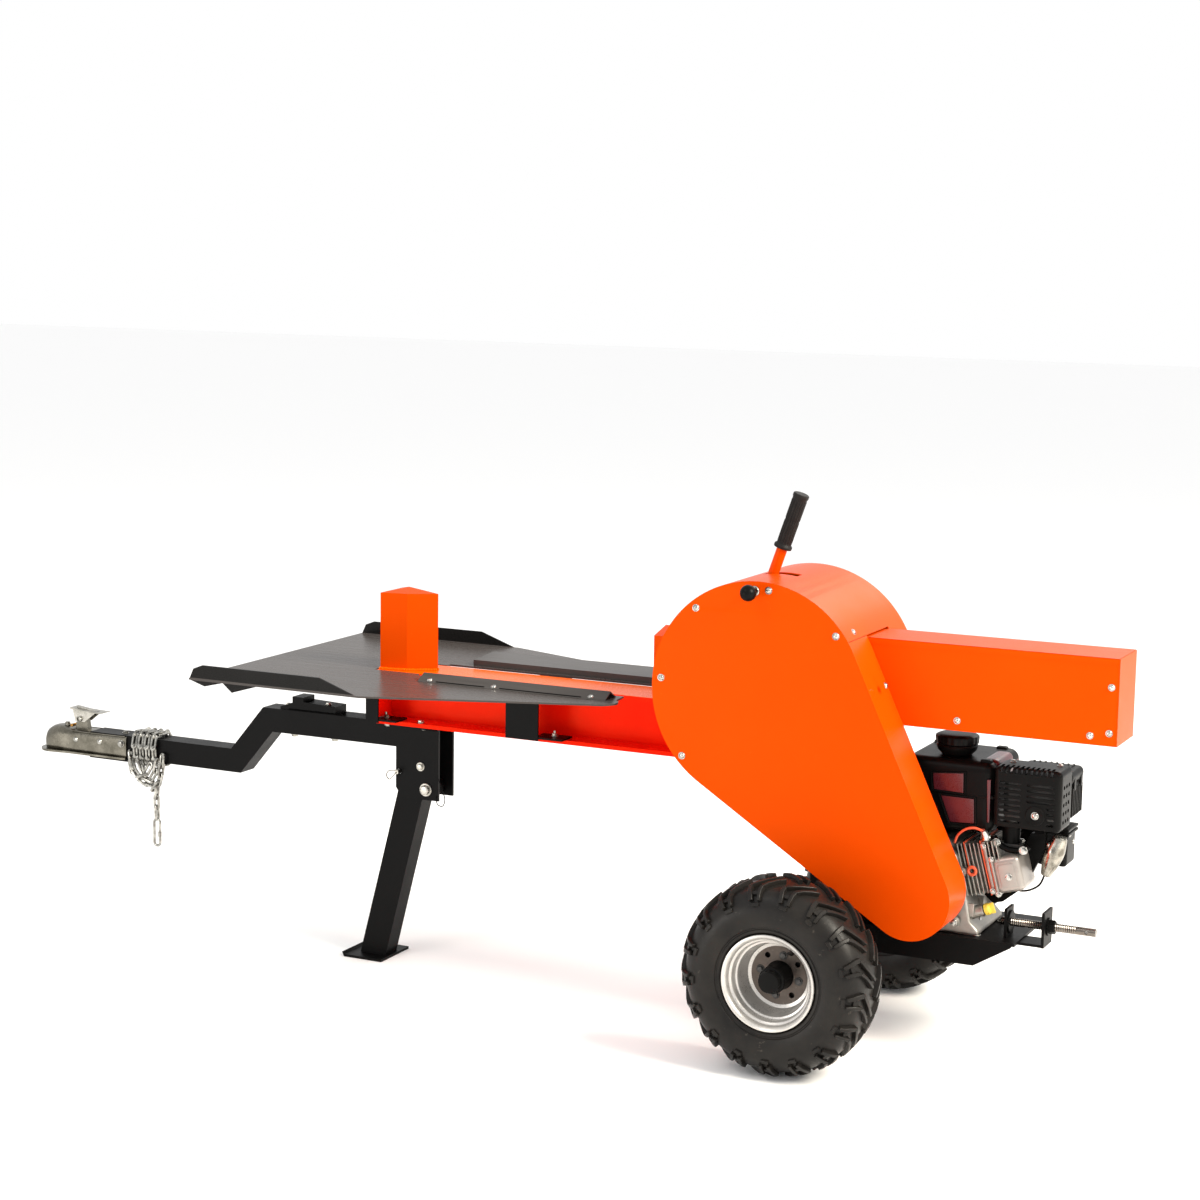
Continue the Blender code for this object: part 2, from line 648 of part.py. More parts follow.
def make_ram():
    low = BEAM_TOP + 0.0025
    face = [(-0.060, low), (0.060, low), (0.060, 0.828), (0, 0.843), (-0.060, 0.828)]
    head = plate([face], "X", RAM_FRONT, RAM_FRONT + 0.020)
    body = box((RAM_FRONT + 0.018, -0.040, low), (RAM_BACK, 0.040, 0.815))
    body = bevelled(body, 0.006)
    flange_low = BEAM_TOP - FLANGE_T
    gib = [(0.038, low + 0.040), (0.038, low), (0.0640, low), (0.0640, flange_low - 0.0015)]
    gib += [(0.052, flange_low - 0.0015), (0.052, flange_low - 0.0095), (0.075, flange_low - 0.0095)]
    gib += [(0.075, low + 0.012), (0.055, low + 0.040)]
    gibs = [
        plate([[(s * y, z) for y, z in gib]], "X", RAM_FRONT + 0.012, RAM_FRONT + 0.044) for s in (-1, 1)
    ]
    finish(joined(head, body, *gibs), "push_block", "orange", (RAM_FRONT, 0, BEAM_TOP))
    pitch, first, count = 0.014, -0.170, 42
    teeth = []
    for i in range(count):
        x = first + i * pitch
        teeth += [
            (x, RACK_BOTTOM + 0.007),
            (x + 0.0025, RACK_BOTTOM),
            (x + 0.0065, RACK_BOTTOM),
            (x + 0.009, RACK_BOTTOM + 0.007),
        ]
    outline = [(RAM_BACK + GAP, RACK_BOTTOM + 0.007), *teeth, (RACK_END, RACK_BOTTOM + 0.007)]
    outline += [(RACK_END, RACK_TOP), (RAM_BACK + GAP, RACK_TOP)]
    finish(plate([outline], "Y", -0.0175, 0.0175), "rack", "steel", (RAM_FRONT, 0, BEAM_TOP))


def make_flywheels():
    centre = (DRUM_X, 0, DRUM_Z)
    shaft = rod((DRUM_X, -0.158, DRUM_Z), (DRUM_X, 0.135, DRUM_Z), 0.0125, 20)
    teeth, outer, root = 11, 0.0235, 0.0165
    gear = []
    for i in range(teeth):
        start = 360 * i / teeth
        for angle, radius in ((0, root), (6, root), (12, outer), (21, outer), (27, root)):
            gear.append(polar((DRUM_X, DRUM_Z), radius, start + angle))
    pinion = plate([gear], "Y", -0.022, 0.022)
    finish(joined(shaft, pinion), "pinion_shaft", "steel", centre)
    bore = 0.0128
    wheel = [(0.200, 0.017), (0.200, -0.017), (0.168, -0.017), (0.160, -0.008)]
    wheel += [(0.045, -0.008), (0.040, -0.017), (bore, -0.017), (bore, 0.017)]
    wheel += [(0.040, 0.017), (0.045, 0.008), (0.160, 0.008), (0.168, 0.017)]
    for side, name in ((-1, "near"), (1, "far")):
        hub = (DRUM_X, side * 0.095, DRUM_Z)
        finish(turned(wheel, hub, 28), f"flywheel_{name}", "cast", centre)
    groove = BELT_HALF + 0.0006
    pulley = [(0.192, 0.015), (0.192, groove), (0.1795, groove)]
    pulley += [(0.1795, -groove), (0.192, -groove), (0.192, -0.015)]
    pulley += [(0.172, -0.015), (0.168, -0.005), (0.034, -0.005), (0.030, -0.015)]
    pulley += [(bore, -0.015), (bore, 0.015), (0.030, 0.015), (0.034, 0.005), (0.168, 0.005), (0.172, 0.015)]
    finish(turned(pulley, (DRUM_X, BELT_Y, DRUM_Z), 26), "driven_pulley", "cast", centre)
    for side, name in ((-1, "near"), (1, "far")):
        low = BEAM_TOP + GAP
        edges = sorted((side * 0.034, side * 0.056))
        block = [(DRUM_X - 0.045, low), (DRUM_X + 0.045, low), (DRUM_X + 0.045, low + 0.014)]
        block += arc((DRUM_X, DRUM_Z), 0.031, 0, 180, 8)
        block += [(DRUM_X - 0.045, low + 0.014)]
        hole = arc((DRUM_X, DRUM_Z), 0.0128, 0, 337.5, 15)
        finish(plate([block, hole], "Y", *edges), f"pillow_bearing_{name}", "cast")


def make_belt_drive():
    first, second = Vector((DRUM_X, DRUM_Z)), Vector((CRANK_X, CRANK_Z))
    outer = loop_outline(first, 0.1890, second, 0.0480, 36)
    inner = loop_outline(first, 0.1808, second, 0.0392, 36)
    finish(plate([outer, inner], "Y", BELT_Y - BELT_HALF, BELT_Y + BELT_HALF), "drive_belt", "rubber")
    centre = (CRANK_X, 0, CRANK_Z)
    shaft = rod((CRANK_X, -0.158, CRANK_Z), (CRANK_X, -0.022, CRANK_Z), 0.0095, 16)
    groove = BELT_HALF + 0.0006
    drum = [(0.0, 0.012), (0.052, 0.012), (0.052, groove), (0.0385, groove)]
    drum += [(0.0385, -groove), (0.052, -groove), (0.052, -0.012), (0.060, -0.014)]
    drum += [(0.060, -0.056), (0.0, -0.056)]
    clutch = turned(drum, (CRANK_X, BELT_Y, CRANK_Z), 22, closed=False)
    finish(joined(clutch, shaft), "clutch_pulley", "cast", centre)


def make_lever():
    shaft = rod((LEVER_X, -0.0655, LEVER_Z), (LEVER_X, 0.0655, LEVER_Z), 0.008, 16)
    low, high = BEAM_TOP + GAP, LEVER_Z + 0.022
    side = [(-0.228, low), (-0.183, low), (-0.178, LEVER_Z), (-0.184, high), (-0.228, high)]
    cheeks = [plate([side], "Y", *sorted((s * 0.056, s * 0.061))) for s in (-1, 1)]
    bridge = box((-0.230, -0.061, 0.850), (-0.2255, 0.061, high))
    finish(joined(cheeks[0], cheeks[1], bridge, shaft), "lever_bracket", "black")
    lean = Vector((math.sin(LEVER_LEAN), 0, math.cos(LEVER_LEAN)))
    root = Vector((LEVER_X, LEVER_Y, LEVER_Z))
    grip_start, grip_end = root + lean * 0.181, root + lean * 0.300
    stem = rod(root + lean * 0.005, grip_end - lean * 0.006, 0.0115, 16)
    hub = rod((LEVER_X, -0.052, LEVER_Z), (LEVER_X, 0.052, LEVER_Z), 0.017, 20)
    arm = [(LEVER_X - 0.008, LEVER_Z - 0.010), (LEVER_X + 0.012, LEVER_Z + 0.006)]
    arm += arc((ROLLER_X, ROLLER_Z), 0.010, 40, -130, 6)
    arms = [plate([arm], "Y", *sorted((s * 0.019, s * 0.025))) for s in (-1, 1)]
    pin = rod((ROLLER_X, -0.027, ROLLER_Z), (ROLLER_X, 0.027, ROLLER_Z), 0.005, 12)
    bore = rod((LEVER_X, -0.07, LEVER_Z), (LEVER_X, 0.07, LEVER_Z), 0.0086, 16)
    pivot = (LEVER_X, 0, LEVER_Z)
    finish(cut(joined(stem, hub, *arms, pin), bore), "control_lever", "orange", pivot)
    grip = rod(grip_start, grip_end, 0.0155, 20)
    collar = rod(grip_start - lean * 0.004, grip_start + lean * 0.002, 0.0195, 20)
    socket = rod(grip_start - lean * 0.03, grip_end - lean * 0.005, 0.0119, 16)
    finish(cut(joined(grip, collar), socket), "lever_grip", "rubber", pivot)
    roller = turned(ring_profile(0.013, 0.0054, -0.0175, 0.0175), (ROLLER_X, 0, ROLLER_Z), 20)
    finish(roller, "press_roller", "steel", (ROLLER_X, 0, ROLLER_Z))


# ---------------------------------------------------------------- guards and covers


def make_belt_guard():
    """The teardrop face plate and its side band; the round cover closes the band over the drum."""
    shell = plate([belt_outline(0)], "Y", GUARD_FACE, GUARD_BACK)
    room = plate([belt_outline(SHEET)], "Y", GUARD_FACE + SHEET, 0)
    sector = plate([cover_sector(0.15)], "Y", GUARD_FACE + SHEET + 0.0001, 0)
    hole = rod((KNOB_X, -0.19, KNOB_Z), (KNOB_X, -0.16, KNOB_Z), 0.0056, 12)
    finish(cut(shell, room, sector, hole), "belt_guard", "orange")
    shank = rod((KNOB_X, -0.200, KNOB_Z), (KNOB_X, -0.160, KNOB_Z), 0.005, 12)
    ball = bmesh.new()
    bmesh.ops.create_uvsphere(ball, u_segments=14, v_segments=8, radius=0.017)
    bmesh.ops.translate(ball, verts=ball.verts, vec=(KNOB_X, -0.212, KNOB_Z))
    finish(joined(shank, from_bmesh(ball)), "lock_knob", "black", (KNOB_X, -0.176, KNOB_Z))


def cover_sector(margin):
    """The sector of the drum circle that the flywheel cover closes, in degrees from +X, plus a margin."""
    centre = (DRUM_X, DRUM_Z)
    return [centre] + arc(centre, 0.30, SEAM_DEG - margin, COVER_FRONT_DEG + margin, 20)


def make_flywheel_cover():
    """The round cover across both flywheels, with a closed far face and a slot for the lever."""
    centre = (DRUM_X, DRUM_Z)
    low = GUARD_FACE + SHEET + 0.0005
    ring = plate([arc(centre, DRUM_R, 0, 352, 44), arc(centre, DRUM_R - SHEET, 0, 352, 44)], "Y", low, COVER_FAR)
    front = plate([arc(centre, DRUM_R + 0.01, 0, 352, 44)], "Y", -0.2, -GUARD_BACK)
    front = cut(front, plate([cover_sector(-0.15)], "Y", -0.3, 0.1))
    face = plate([arc(centre, DRUM_R, 0, 352, 44)], "Y", COVER_FAR - SHEET, COVER_FAR)
    slot = box((-0.176, LEVER_Y - 0.015, 0.90), (-0.098, LEVER_Y + 0.015, 1.10))
    finish(cut(joined(cut(ring, front), face), slot), "flywheel_cover", "orange")


def make_rack_cover():
    """The long box over the rack's rest position: open front, lapped end lid, and the rack's guide inside."""
    end = COVER_END_X - 0.0025
    shell = box((BOX_START, -BOX_HALF, BOX_BOTTOM), (end, BOX_HALF, BOX_TOP))
    room = box((0, -BOX_HALF + 0.002, BOX_BOTTOM + 0.002), (0.8, BOX_HALF - 0.002, BOX_TOP - 0.002))
    low = BOX_BOTTOM + 0.001
    channel = [(-0.028, low), (0.028, low), (0.028, 0.798), (0.022, 0.798), (0.022, 0.766)]
    channel += [(-0.022, 0.766), (-0.022, 0.798), (-0.028, 0.798)]
    guide = plate([channel], "X", BOX_START + 0.006, end - 0.030)
    inside = [(-0.022, low + 0.005), (0.022, low + 0.005), (0.022, 0.760), (-0.022, 0.760)]
    guide = cut(guide, plate([inside], "X", 0, 0.8))
    finish(joined(cut(shell, room), guide), "rack_cover", "orange")
    lid = box((end + GAP, -BOX_HALF, BOX_BOTTOM), (COVER_END_X, BOX_HALF, BOX_TOP))
    lap = [
        box((end - 0.020, y - 0.0008, BOX_BOTTOM + 0.003), (end + 0.001, y + 0.0008, BOX_TOP - 0.003))
        for y in (-0.0628, 0.0628)
    ]
    finish(joined(lid, *lap), "rack_cover_end", "orange")


def make_return_spring():
    turns, per_turn, radius = 8, 6, 0.009
    start, end, y, z = 0.330, 0.530, -0.045, 0.745
    points = []
    for i in range(turns * per_turn + 1):
        angle = 2 * math.pi * i / per_turn
        x = start + (end - start) * i / (turns * per_turn)
        points.append((x, y + radius * math.cos(angle), z + radius * math.sin(angle)))
    finish(wire(points, 0.0016, 1), "return_spring", "steel")


# ---------------------------------------------------------------- engine


def along_cylinder(distance, offset=0.0):
    """A point beside the cylinder's axis, seen from the side: distance from the crank and height off the axis."""
    c, s = math.cos(CYLINDER_TILT), math.sin(CYLINDER_TILT)
    return (CRANK_X + distance * c - offset * s, CRANK_Z + distance * s + offset * c)


def cylinder_block(start, end, half, low, high):
    corners = ((start, -half), (end, -half), (end, half), (start, half))
    return plate([[along_cylinder(*corner) for corner in corners]], "Y", low, high)


def make_engine():
    floor = ENGINE_FLOOR + GAP
    case = [(0.110, floor), (0.318, floor), (0.318, floor + 0.010), (0.300, 0.290)]
    case += [along_cylinder(0.075, -0.048), along_cylinder(0.075, 0.048), (0.235, 0.452), (0.150, 0.452)]
    case += [(0.122, 0.400), (0.116, 0.290), (0.110, 0.276)]
    block = plate([case], "Y", -0.045, 0.130)
    boss = rod((CRANK_X, -0.052, CRANK_Z), (CRANK_X, -0.040, CRANK_Z), 0.045, 24)
    filler = rod((0.285, -0.020, 0.300), (0.323, -0.020, 0.314), 0.013, 16)
    tower = rod((0.240, 0.070, 0.440), (0.240, 0.070, 0.470), 0.030, 12)
    drills = [
        rod((0.300, -0.020, 0.3055), (0.340, -0.020, 0.3203), 0.0085, 12),
        rod((CRANK_X, -0.06, CRANK_Z), (CRANK_X, -0.018, CRANK_Z), 0.0101, 16),
    ]
    finish(cut(joined(block, boss, filler, tower), *drills), "engine_block", "cast")
    barrel = [cylinder_block(0.0755, 0.150, 0.036, -0.018, 0.078)]
    for i in range(6):
        place = 0.078 + 0.0105 * i
        barrel.append(cylinder_block(place, place + 0.003, 0.046, -0.030, 0.090))
    barrel.append(cylinder_block(0.141, 0.160, 0.045, -0.030, 0.090))
    finish(joined(*barrel), "cylinder", "cast")
    cover = bevelled(cylinder_block(0.1605, 0.196, 0.038, -0.026, 0.062), 0.008)
    finish(cover, "valve_cover", "steel")


def make_engine_top():
    silencer = bevelled(box((0.350, -0.018, 0.503), (0.462, 0.046, 0.603)), 0.014, 2)
    pipe = rod((0.362, 0.020, 0.4475), (0.362, 0.020, 0.515), 0.014, 14)
    flange = box((0.345, 0.000, 0.4475), (0.385, 0.040, 0.453))
    finish(joined(silencer, pipe, flange), "muffler", "cast")
    shell = bevelled(box((0.335, -0.034, 0.4915), (0.476, 0.056, 0.620)), 0.010, 1)
    shell = cut(shell, box((0.342, -0.028, 0.40), (0.470, 0.080, 0.612)))
    slots = []
    for row in range(6):
        z = 0.513 + row * 0.013
        for left, right in ((0.352, 0.396), (0.408, 0.460)):
            slots.append(box((left, -0.05, z), (right, -0.02, z + 0.005)))
    for row in range(5):
        z = 0.515 + row * 0.016
        slots.append(box((0.465, -0.012, z), (0.50, 0.036, z + 0.006)))
    finish(cut(shell, *slots), "muffler_guard", "black")
    elbow = bevelled(box((0.442, 0.008, 0.420), (0.480, 0.052, 0.4905)), 0.008)
    body = box((0.412, 0.044, 0.430), (0.472, 0.112, 0.488))
    throat = rod((0.440, 0.085, 0.480), (0.440, 0.085, 0.4945), 0.022, 20)
    finish(joined(body, elbow, throat), "carburettor", "cast")
    cleaner = bevelled(box((0.350, 0.060, 0.495), (0.472, 0.162, 0.600)), 0.016, 2)
    finish(cleaner, "air_cleaner", "black")
    tank = bevelled(box((0.135, -0.020, 0.4703), (0.332, 0.178, 0.628)), 0.022, 2)
    neck = rod((0.232, 0.045, 0.620), (0.232, 0.045, 0.642), 0.022, 20)
    finish(joined(tank, neck), "fuel_tank", "black")
    cap = rod((0.232, 0.045, 0.6425), (0.232, 0.045, 0.664), 0.041, 24)
    finish(bevelled(cap, 0.003), "fuel_cap", "black", (0.232, 0.045, 0.6425))


def make_blower():
    """The blower housing with the recoil starter on it and the plate that carries the controls."""
    housing = [(0.0, 0.0), (0.118, 0.0), (0.118, -0.055), (0.100, -0.066), (0.084, -0.0665)]
    housing += [(0.082, -0.092), (0.070, -0.100), (0.0, -0.100)]
    shell = turned(housing, (CRANK_X, 0.1305, CRANK_Z), 24, closed=False)
    shell = cut(shell, box((0, 0, 0), (0.5, 0.4, ENGINE_FLOOR + GAP)), box((0, 0, 0.4700), (0.5, 0.4, 0.7)))
    panel = box((0.295, 0.134, 0.412), (0.385, 0.172, 0.466))
    finish(joined(shell, panel), "blower_housing", "black")


def make_engine_controls():
    bar = rod((0.120, 0.226, 0.452), (0.180, 0.226, 0.452), 0.008, 10)
    finish(bar, "starter_handle", "black", (0.150, 0.226, 0.452))
    arm = [(0.349, 0.434), (0.361, 0.434), (0.361, 0.446), (0.345, 0.487), (0.337, 0.487), (0.349, 0.444)]
    finish(plate([arm], "Y", 0.1745, 0.1785), "throttle_lever", "steel", (0.355, 0.1745, 0.440))
    switch = rod((0.327, 0.1725, 0.426), (0.327, 0.183, 0.426), 0.0075, 12)
    key = box((0.3255, 0.182, 0.4195), (0.3285, 0.190, 0.4325))
    finish(joined(switch, key), "engine_switch", "black", (0.327, 0.1725, 0.426))
    stick = rod((0.3245, -0.020, 0.3146), (0.337, -0.020, 0.3192), 0.0125, 12)
    finish(stick, "oil_dipstick", "yellow", (0.3245, -0.020, 0.3146))


make_beam()
make_wedge()
make_table()
make_log_guides()
make_table_brackets()
make_tongue()
make_coupler_latch(make_coupler())
make_chain()
make_leg_bracket()
make_leg()
make_wheels()
make_frame()
make_engine_base()
make_tension_screw()
make_ram()
make_flywheels()
make_belt_drive()
make_lever()
make_belt_guard()
make_flywheel_cover()
make_rack_cover()
make_return_spring()
make_engine()
make_engine_top()
make_blower()
make_engine_controls()
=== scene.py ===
"""Log splitter: the look of each visible piece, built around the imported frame."""

import math
import random
from math import cos, radians, sin

import bmesh
import bpy
from mathutils import Matrix, Vector


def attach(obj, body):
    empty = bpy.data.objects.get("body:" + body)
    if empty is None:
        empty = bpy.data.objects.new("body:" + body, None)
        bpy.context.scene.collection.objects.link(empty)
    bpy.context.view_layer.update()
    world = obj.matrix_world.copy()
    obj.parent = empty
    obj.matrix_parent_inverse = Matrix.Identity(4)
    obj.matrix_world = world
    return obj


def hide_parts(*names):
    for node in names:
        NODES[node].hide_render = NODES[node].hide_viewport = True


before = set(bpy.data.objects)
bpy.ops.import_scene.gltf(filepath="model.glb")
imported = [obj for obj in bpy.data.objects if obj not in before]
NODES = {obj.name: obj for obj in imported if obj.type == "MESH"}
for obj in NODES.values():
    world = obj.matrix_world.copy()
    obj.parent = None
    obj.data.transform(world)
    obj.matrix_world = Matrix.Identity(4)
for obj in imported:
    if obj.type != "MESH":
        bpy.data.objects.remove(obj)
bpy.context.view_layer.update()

AXLE_X = 0.75
DRUM = (-0.1323, 0.746)
DRUM_R = 0.2332
CRANK = (0.207, 0.36)
NOSE_R = 0.089
GUARD_FACE = -0.176
GUARD_BACK = -0.0665
SHEET = 0.003
COVER_FAR = 0.16
SEAM_DEG = 32.0
COVER_FRONT_DEG = 150.0
AXLE_Z = 0.213
WHEEL_R = 0.203
GROUND = AXLE_Z - WHEEL_R
WHEEL_Y = 0.33
SMOOTH = radians(35)

random.seed(7)


# ---------------------------------------------------------------- camera, floor and light


def add_camera():
    yaw, pitch, roll = (radians(a) for a in (25.696, 8.342, 0.883))
    forward = Vector((-sin(yaw) * cos(pitch), cos(yaw) * cos(pitch), -sin(pitch)))
    level = Vector((cos(yaw), sin(yaw), 0))
    lift = level.cross(forward)
    right = level * cos(roll) + lift * sin(roll)
    up = lift * cos(roll) - level * sin(roll)
    camera = bpy.data.objects.new("camera", bpy.data.cameras.new("camera"))
    bpy.context.scene.collection.objects.link(camera)
    camera.data.sensor_width = 36
    camera.data.lens = 74.034
    camera.data.clip_end = 60
    turn = Matrix((right, up, -forward)).transposed().to_4x4()
    camera.matrix_world = Matrix.Translation((1.737 + AXLE_X, -4.802, 1.666 - GROUND)) @ turn
    bpy.context.scene.camera = camera


def add_light(name, place, target, size, power, colour=(1, 1, 1)):
    light = bpy.data.lights.new(name, "AREA")
    light.shape = "DISK"
    light.size = size
    light.energy = power
    light.color = colour
    obj = bpy.data.objects.new(name, light)
    bpy.context.scene.collection.objects.link(obj)
    aim = (Vector(target) - Vector(place)).to_track_quat("-Z", "Y")
    obj.matrix_world = Matrix.Translation(place) @ aim.to_matrix().to_4x4()


def add_studio():
    world = bpy.data.worlds.new("studio")
    bpy.context.scene.world = world
    world.use_nodes = True
    background = world.node_tree.nodes["Background"]
    background.inputs["Color"].default_value = (1, 1, 1, 1)
    background.inputs["Strength"].default_value = 1.0
    bpy.context.scene.view_settings.view_transform = "Standard"
    add_light("key", (-1.4, -3.4, 4.6), (0.2, 0, 0.6), 2.2, 60, (1, 0.97, 0.92))
    add_light("sun_side", (4.8, -0.5, 3.6), (0.6, 0, 0.6), 2.6, 520, (1, 0.93, 0.8))
    add_light("low_front", (-2.2, -3.6, 0.5), (-0.3, 0, 0.6), 1.6, 42, (1, 0.97, 0.93))
    add_light("back", (1.2, 3.8, 3.6), (0.3, 0, 0.7), 2.6, 60, (1, 0.94, 0.86))
    bm = bmesh.new()
    bmesh.ops.create_grid(bm, x_segments=1, y_segments=1, size=30)
    mesh = bpy.data.meshes.new("floor")
    bm.to_mesh(mesh)
    bm.free()
    floor = bpy.data.objects.new("floor", mesh)
    bpy.context.scene.collection.objects.link(floor)
    pale = bpy.data.materials.new("floor")
    pale.use_nodes = True
    pale.node_tree.nodes["Principled BSDF"].inputs["Base Color"].default_value = (0.96, 0.96, 0.96, 1)
    pale.node_tree.nodes["Principled BSDF"].inputs["Roughness"].default_value = 0.7
    floor.data.materials.append(pale)


# ---------------------------------------------------------------- materials


def node(tree, kind, out, *values, **settings):
    """A new node's output; each input takes a value or an output, and a lower-case name is a property.

    Positional values go to the inputs in their order.
    """
    made = tree.nodes.new("ShaderNode" + kind)
    for key, value in [*enumerate(values), *settings.items()]:
        if isinstance(key, str) and key[0].islower():
            setattr(made, key, value)
            continue
        socket = made.inputs[key.replace("_", " ") if isinstance(key, str) else key]
        if isinstance(value, bpy.types.NodeSocket):
            tree.links.new(value, socket)
        else:
            socket.default_value = value
    return made.outputs[out]


def surface(
    name, colour, roughness=0.4, metallic=0.0, second=None, patch=5.0, contrast=0.5, grain=500.0,
    bump=0.05, stretch=(1, 1, 1), rough_spread=0.1, speck=None, coat=0.0, gloss=0.5,
    tint=(1, 1, 1), above=None, below=None,
):
    """A finish with broad patches of a second colour, fine grain in its bump and roughness, and specks.

    above and below are (height, colour) pairs that paint what lies past a height with another colour, used
    here for the beam's painted shade and to bound the log table's painted sheen.
    """
    made = bpy.data.materials.new(name)
    made.use_nodes = True
    tree = made.node_tree
    place = node(tree, "TexCoord", "Object")
    scaled = node(tree, "Mapping", "Vector", Vector=place, Scale=stretch)
    broad = node(tree, "TexNoise", "Fac", Vector=scaled, Scale=patch, Detail=6.0, Roughness=0.6)
    fine = node(tree, "TexNoise", "Fac", Vector=scaled, Scale=grain, Detail=3.0)
    last = node(tree, "ValToRGB", "Color", Fac=broad)
    for element, sign, tone in zip(last.node.color_ramp.elements, (-1, 1), (second, colour)):
        element.position = 0.5 + sign * contrast / 2
        element.color = (*tone, 1)
    changes = []
    if speck:
        speck_scale, threshold, tone = speck
        specks = node(tree, "TexNoise", "Fac", Vector=place, Scale=speck_scale, Detail=4.0, Roughness=0.7)
        changes.append((specks, threshold, 0.06, tone))
    for limit, run in ((above, 0.0004), (below, -0.0004)):
        if limit:
            changes.append((node(tree, "SeparateXYZ", "Z", Vector=place), limit[0], run, limit[1]))
    for value, start, run, tone in changes:
        level = node(tree, "MapRange", "Result", Value=value, From_Min=start, From_Max=start + run)
        last = node(tree, "Mix", "Result", data_type="RGBA", Factor=level, A=last, B=(*tone, 1))
    half = node(tree, "Math", "Value", broad, 0.5, operation="MULTIPLY")
    both = node(tree, "Math", "Value", fine, 0.5, half, operation="MULTIPLY_ADD")
    least, most = max(0.03, roughness - rough_spread), min(1.0, roughness + rough_spread)
    rough = node(
        tree, "MapRange", "Result", Value=both, From_Min=0.3, From_Max=0.7, To_Min=least, To_Max=most,
    )
    relief = node(tree, "Bump", "Normal", Strength=bump, Distance=0.001, Height=fine)
    shader = tree.nodes["Principled BSDF"].inputs
    for socket, value in (("Base Color", last), ("Roughness", rough), ("Normal", relief)):
        tree.links.new(value, shader[socket])
    shader["Metallic"].default_value = metallic
    shader["Specular IOR Level"].default_value = gloss
    shader["Specular Tint"].default_value = (*tint, 1)
    shader["Coat Weight"].default_value = coat
    shader["Coat Roughness"].default_value = 0.08
    return made


ORANGE = surface(
    "orange_enamel", (0.67, 0.057, 0.0003), 0.34, second=(0.64, 0.051, 0.0003), patch=3, grain=900,
    bump=0.04, speck=(140, 0.7, (0.66, 0.1, 0.01)), gloss=0.12, tint=(1.0, 0.6, 0.12),
)
# Painted shade: the beam is orange all over, but below 0.6814 its sides, web and flanges are coloured a
# bright red that stands in for that orange in shade; only the top keeps the orange.
BEAM_PAINTED_SHADE = surface(
    "beam_enamel_painted_shade", (0.94, 0.009, 0.001), 0.26, second=(0.82, 0.006, 0.001), patch=6, grain=700,
    speck=(90, 0.68, (0.6, 0.02, 0.004)), gloss=0.12, tint=(1.0, 0.5, 0.12),
    above=(0.6814, (0.82, 0.11, 0.001)),
)
BLACK = surface(
    "black_powder_coat", (0.0035, 0.0032, 0.0032), 0.4, second=(0.0022, 0.0022, 0.0022), patch=12,
    grain=1400, bump=0.12, speck=(160, 0.7, (0.02, 0.018, 0.016)), gloss=0.07,
)
# Painted reflection: the log table is black powder coat; its plate between 0.678 and 0.684 is coloured grey
# for the sheen glossy black shows at a grazing angle, while parts above and below keep the near-black. The
# lengthwise streaks and light specks are scratches.
TABLE_PAINTED_SHEEN = surface(
    "black_table_painted_sheen", (0.07, 0.062, 0.058), 0.27, second=(0.055, 0.048, 0.045), patch=7, grain=260,
    stretch=(1, 14, 1), rough_spread=0.08, speck=(120, 0.69, (0.11, 0.1, 0.09)), gloss=0.06,
    above=(0.684, (0.006, 0.0055, 0.005)), below=(0.678, (0.006, 0.0055, 0.005)),
)
GUIDE_SHEET = surface(
    "guide_sheet", (0.07, 0.064, 0.06), 0.34, second=(0.05, 0.045, 0.042), patch=9, grain=260,
    stretch=(1, 14, 1), rough_spread=0.08, gloss=0.08,
)
ZINC = surface(
    "zinc_plated_steel", (0.5, 0.48, 0.44), 0.3, 1.0, second=(0.3, 0.29, 0.25), patch=40, grain=900,
    rough_spread=0.14,
)
COUPLER_STEEL = surface(
    "zinc_coupler_steel", (0.22, 0.205, 0.17), 0.27, 1.0, second=(0.1, 0.093, 0.073), patch=30,
    contrast=0.4, bump=0.06, rough_spread=0.12, speck=(150, 0.66, (0.42, 0.4, 0.34)),
)
CHAIN_STEEL = surface(
    "bright_chain", (0.52, 0.51, 0.47), 0.24, 1.0, second=(0.16, 0.155, 0.14), patch=70, contrast=0.3,
    grain=900, bump=0.04,
)
SCREW_STEEL = surface(
    "screw_steel", (0.62, 0.61, 0.58), 0.22, 1.0, second=(0.26, 0.255, 0.24), patch=110, contrast=0.3,
    grain=600, bump=0.03,
)
THREAD_STEEL = surface(
    "oiled_thread_steel", (0.24, 0.215, 0.19), 0.28, 1.0, second=(0.12, 0.105, 0.092), patch=60, bump=0.06,
)
BRASS = surface(
    "brass_pin", (0.42, 0.22, 0.06), 0.3, 1.0, second=(0.25, 0.12, 0.03), patch=60,
)
RIM_SILVER = surface(
    "rim_silver", (0.64, 0.62, 0.59), 0.32, 0.6, second=(0.46, 0.44, 0.42), patch=14, bump=0.06,
    rough_spread=0.12, speck=(110, 0.66, (0.1, 0.085, 0.07)), gloss=0.3,
)
RIM_DISC = surface(
    "rim_disc_steel", (0.115, 0.095, 0.082), 0.38, 0.6, second=(0.06, 0.048, 0.041), patch=26, bump=0.08,
    rough_spread=0.12, speck=(120, 0.66, (0.26, 0.24, 0.21)), gloss=0.3,
)
TYRE = surface(
    "tyre_rubber", (0.0045, 0.004, 0.0038), 0.4, second=(0.014, 0.012, 0.01), patch=16, contrast=0.4,
    bump=0.2, rough_spread=0.15, speck=(60, 0.66, (0.04, 0.034, 0.028)), gloss=0.18,
)
CAST = surface(
    "dark_cast_iron", (0.1, 0.1, 0.1), 0.55, 0.7, second=(0.06, 0.058, 0.055), patch=25, grain=300,
    bump=0.25,
)
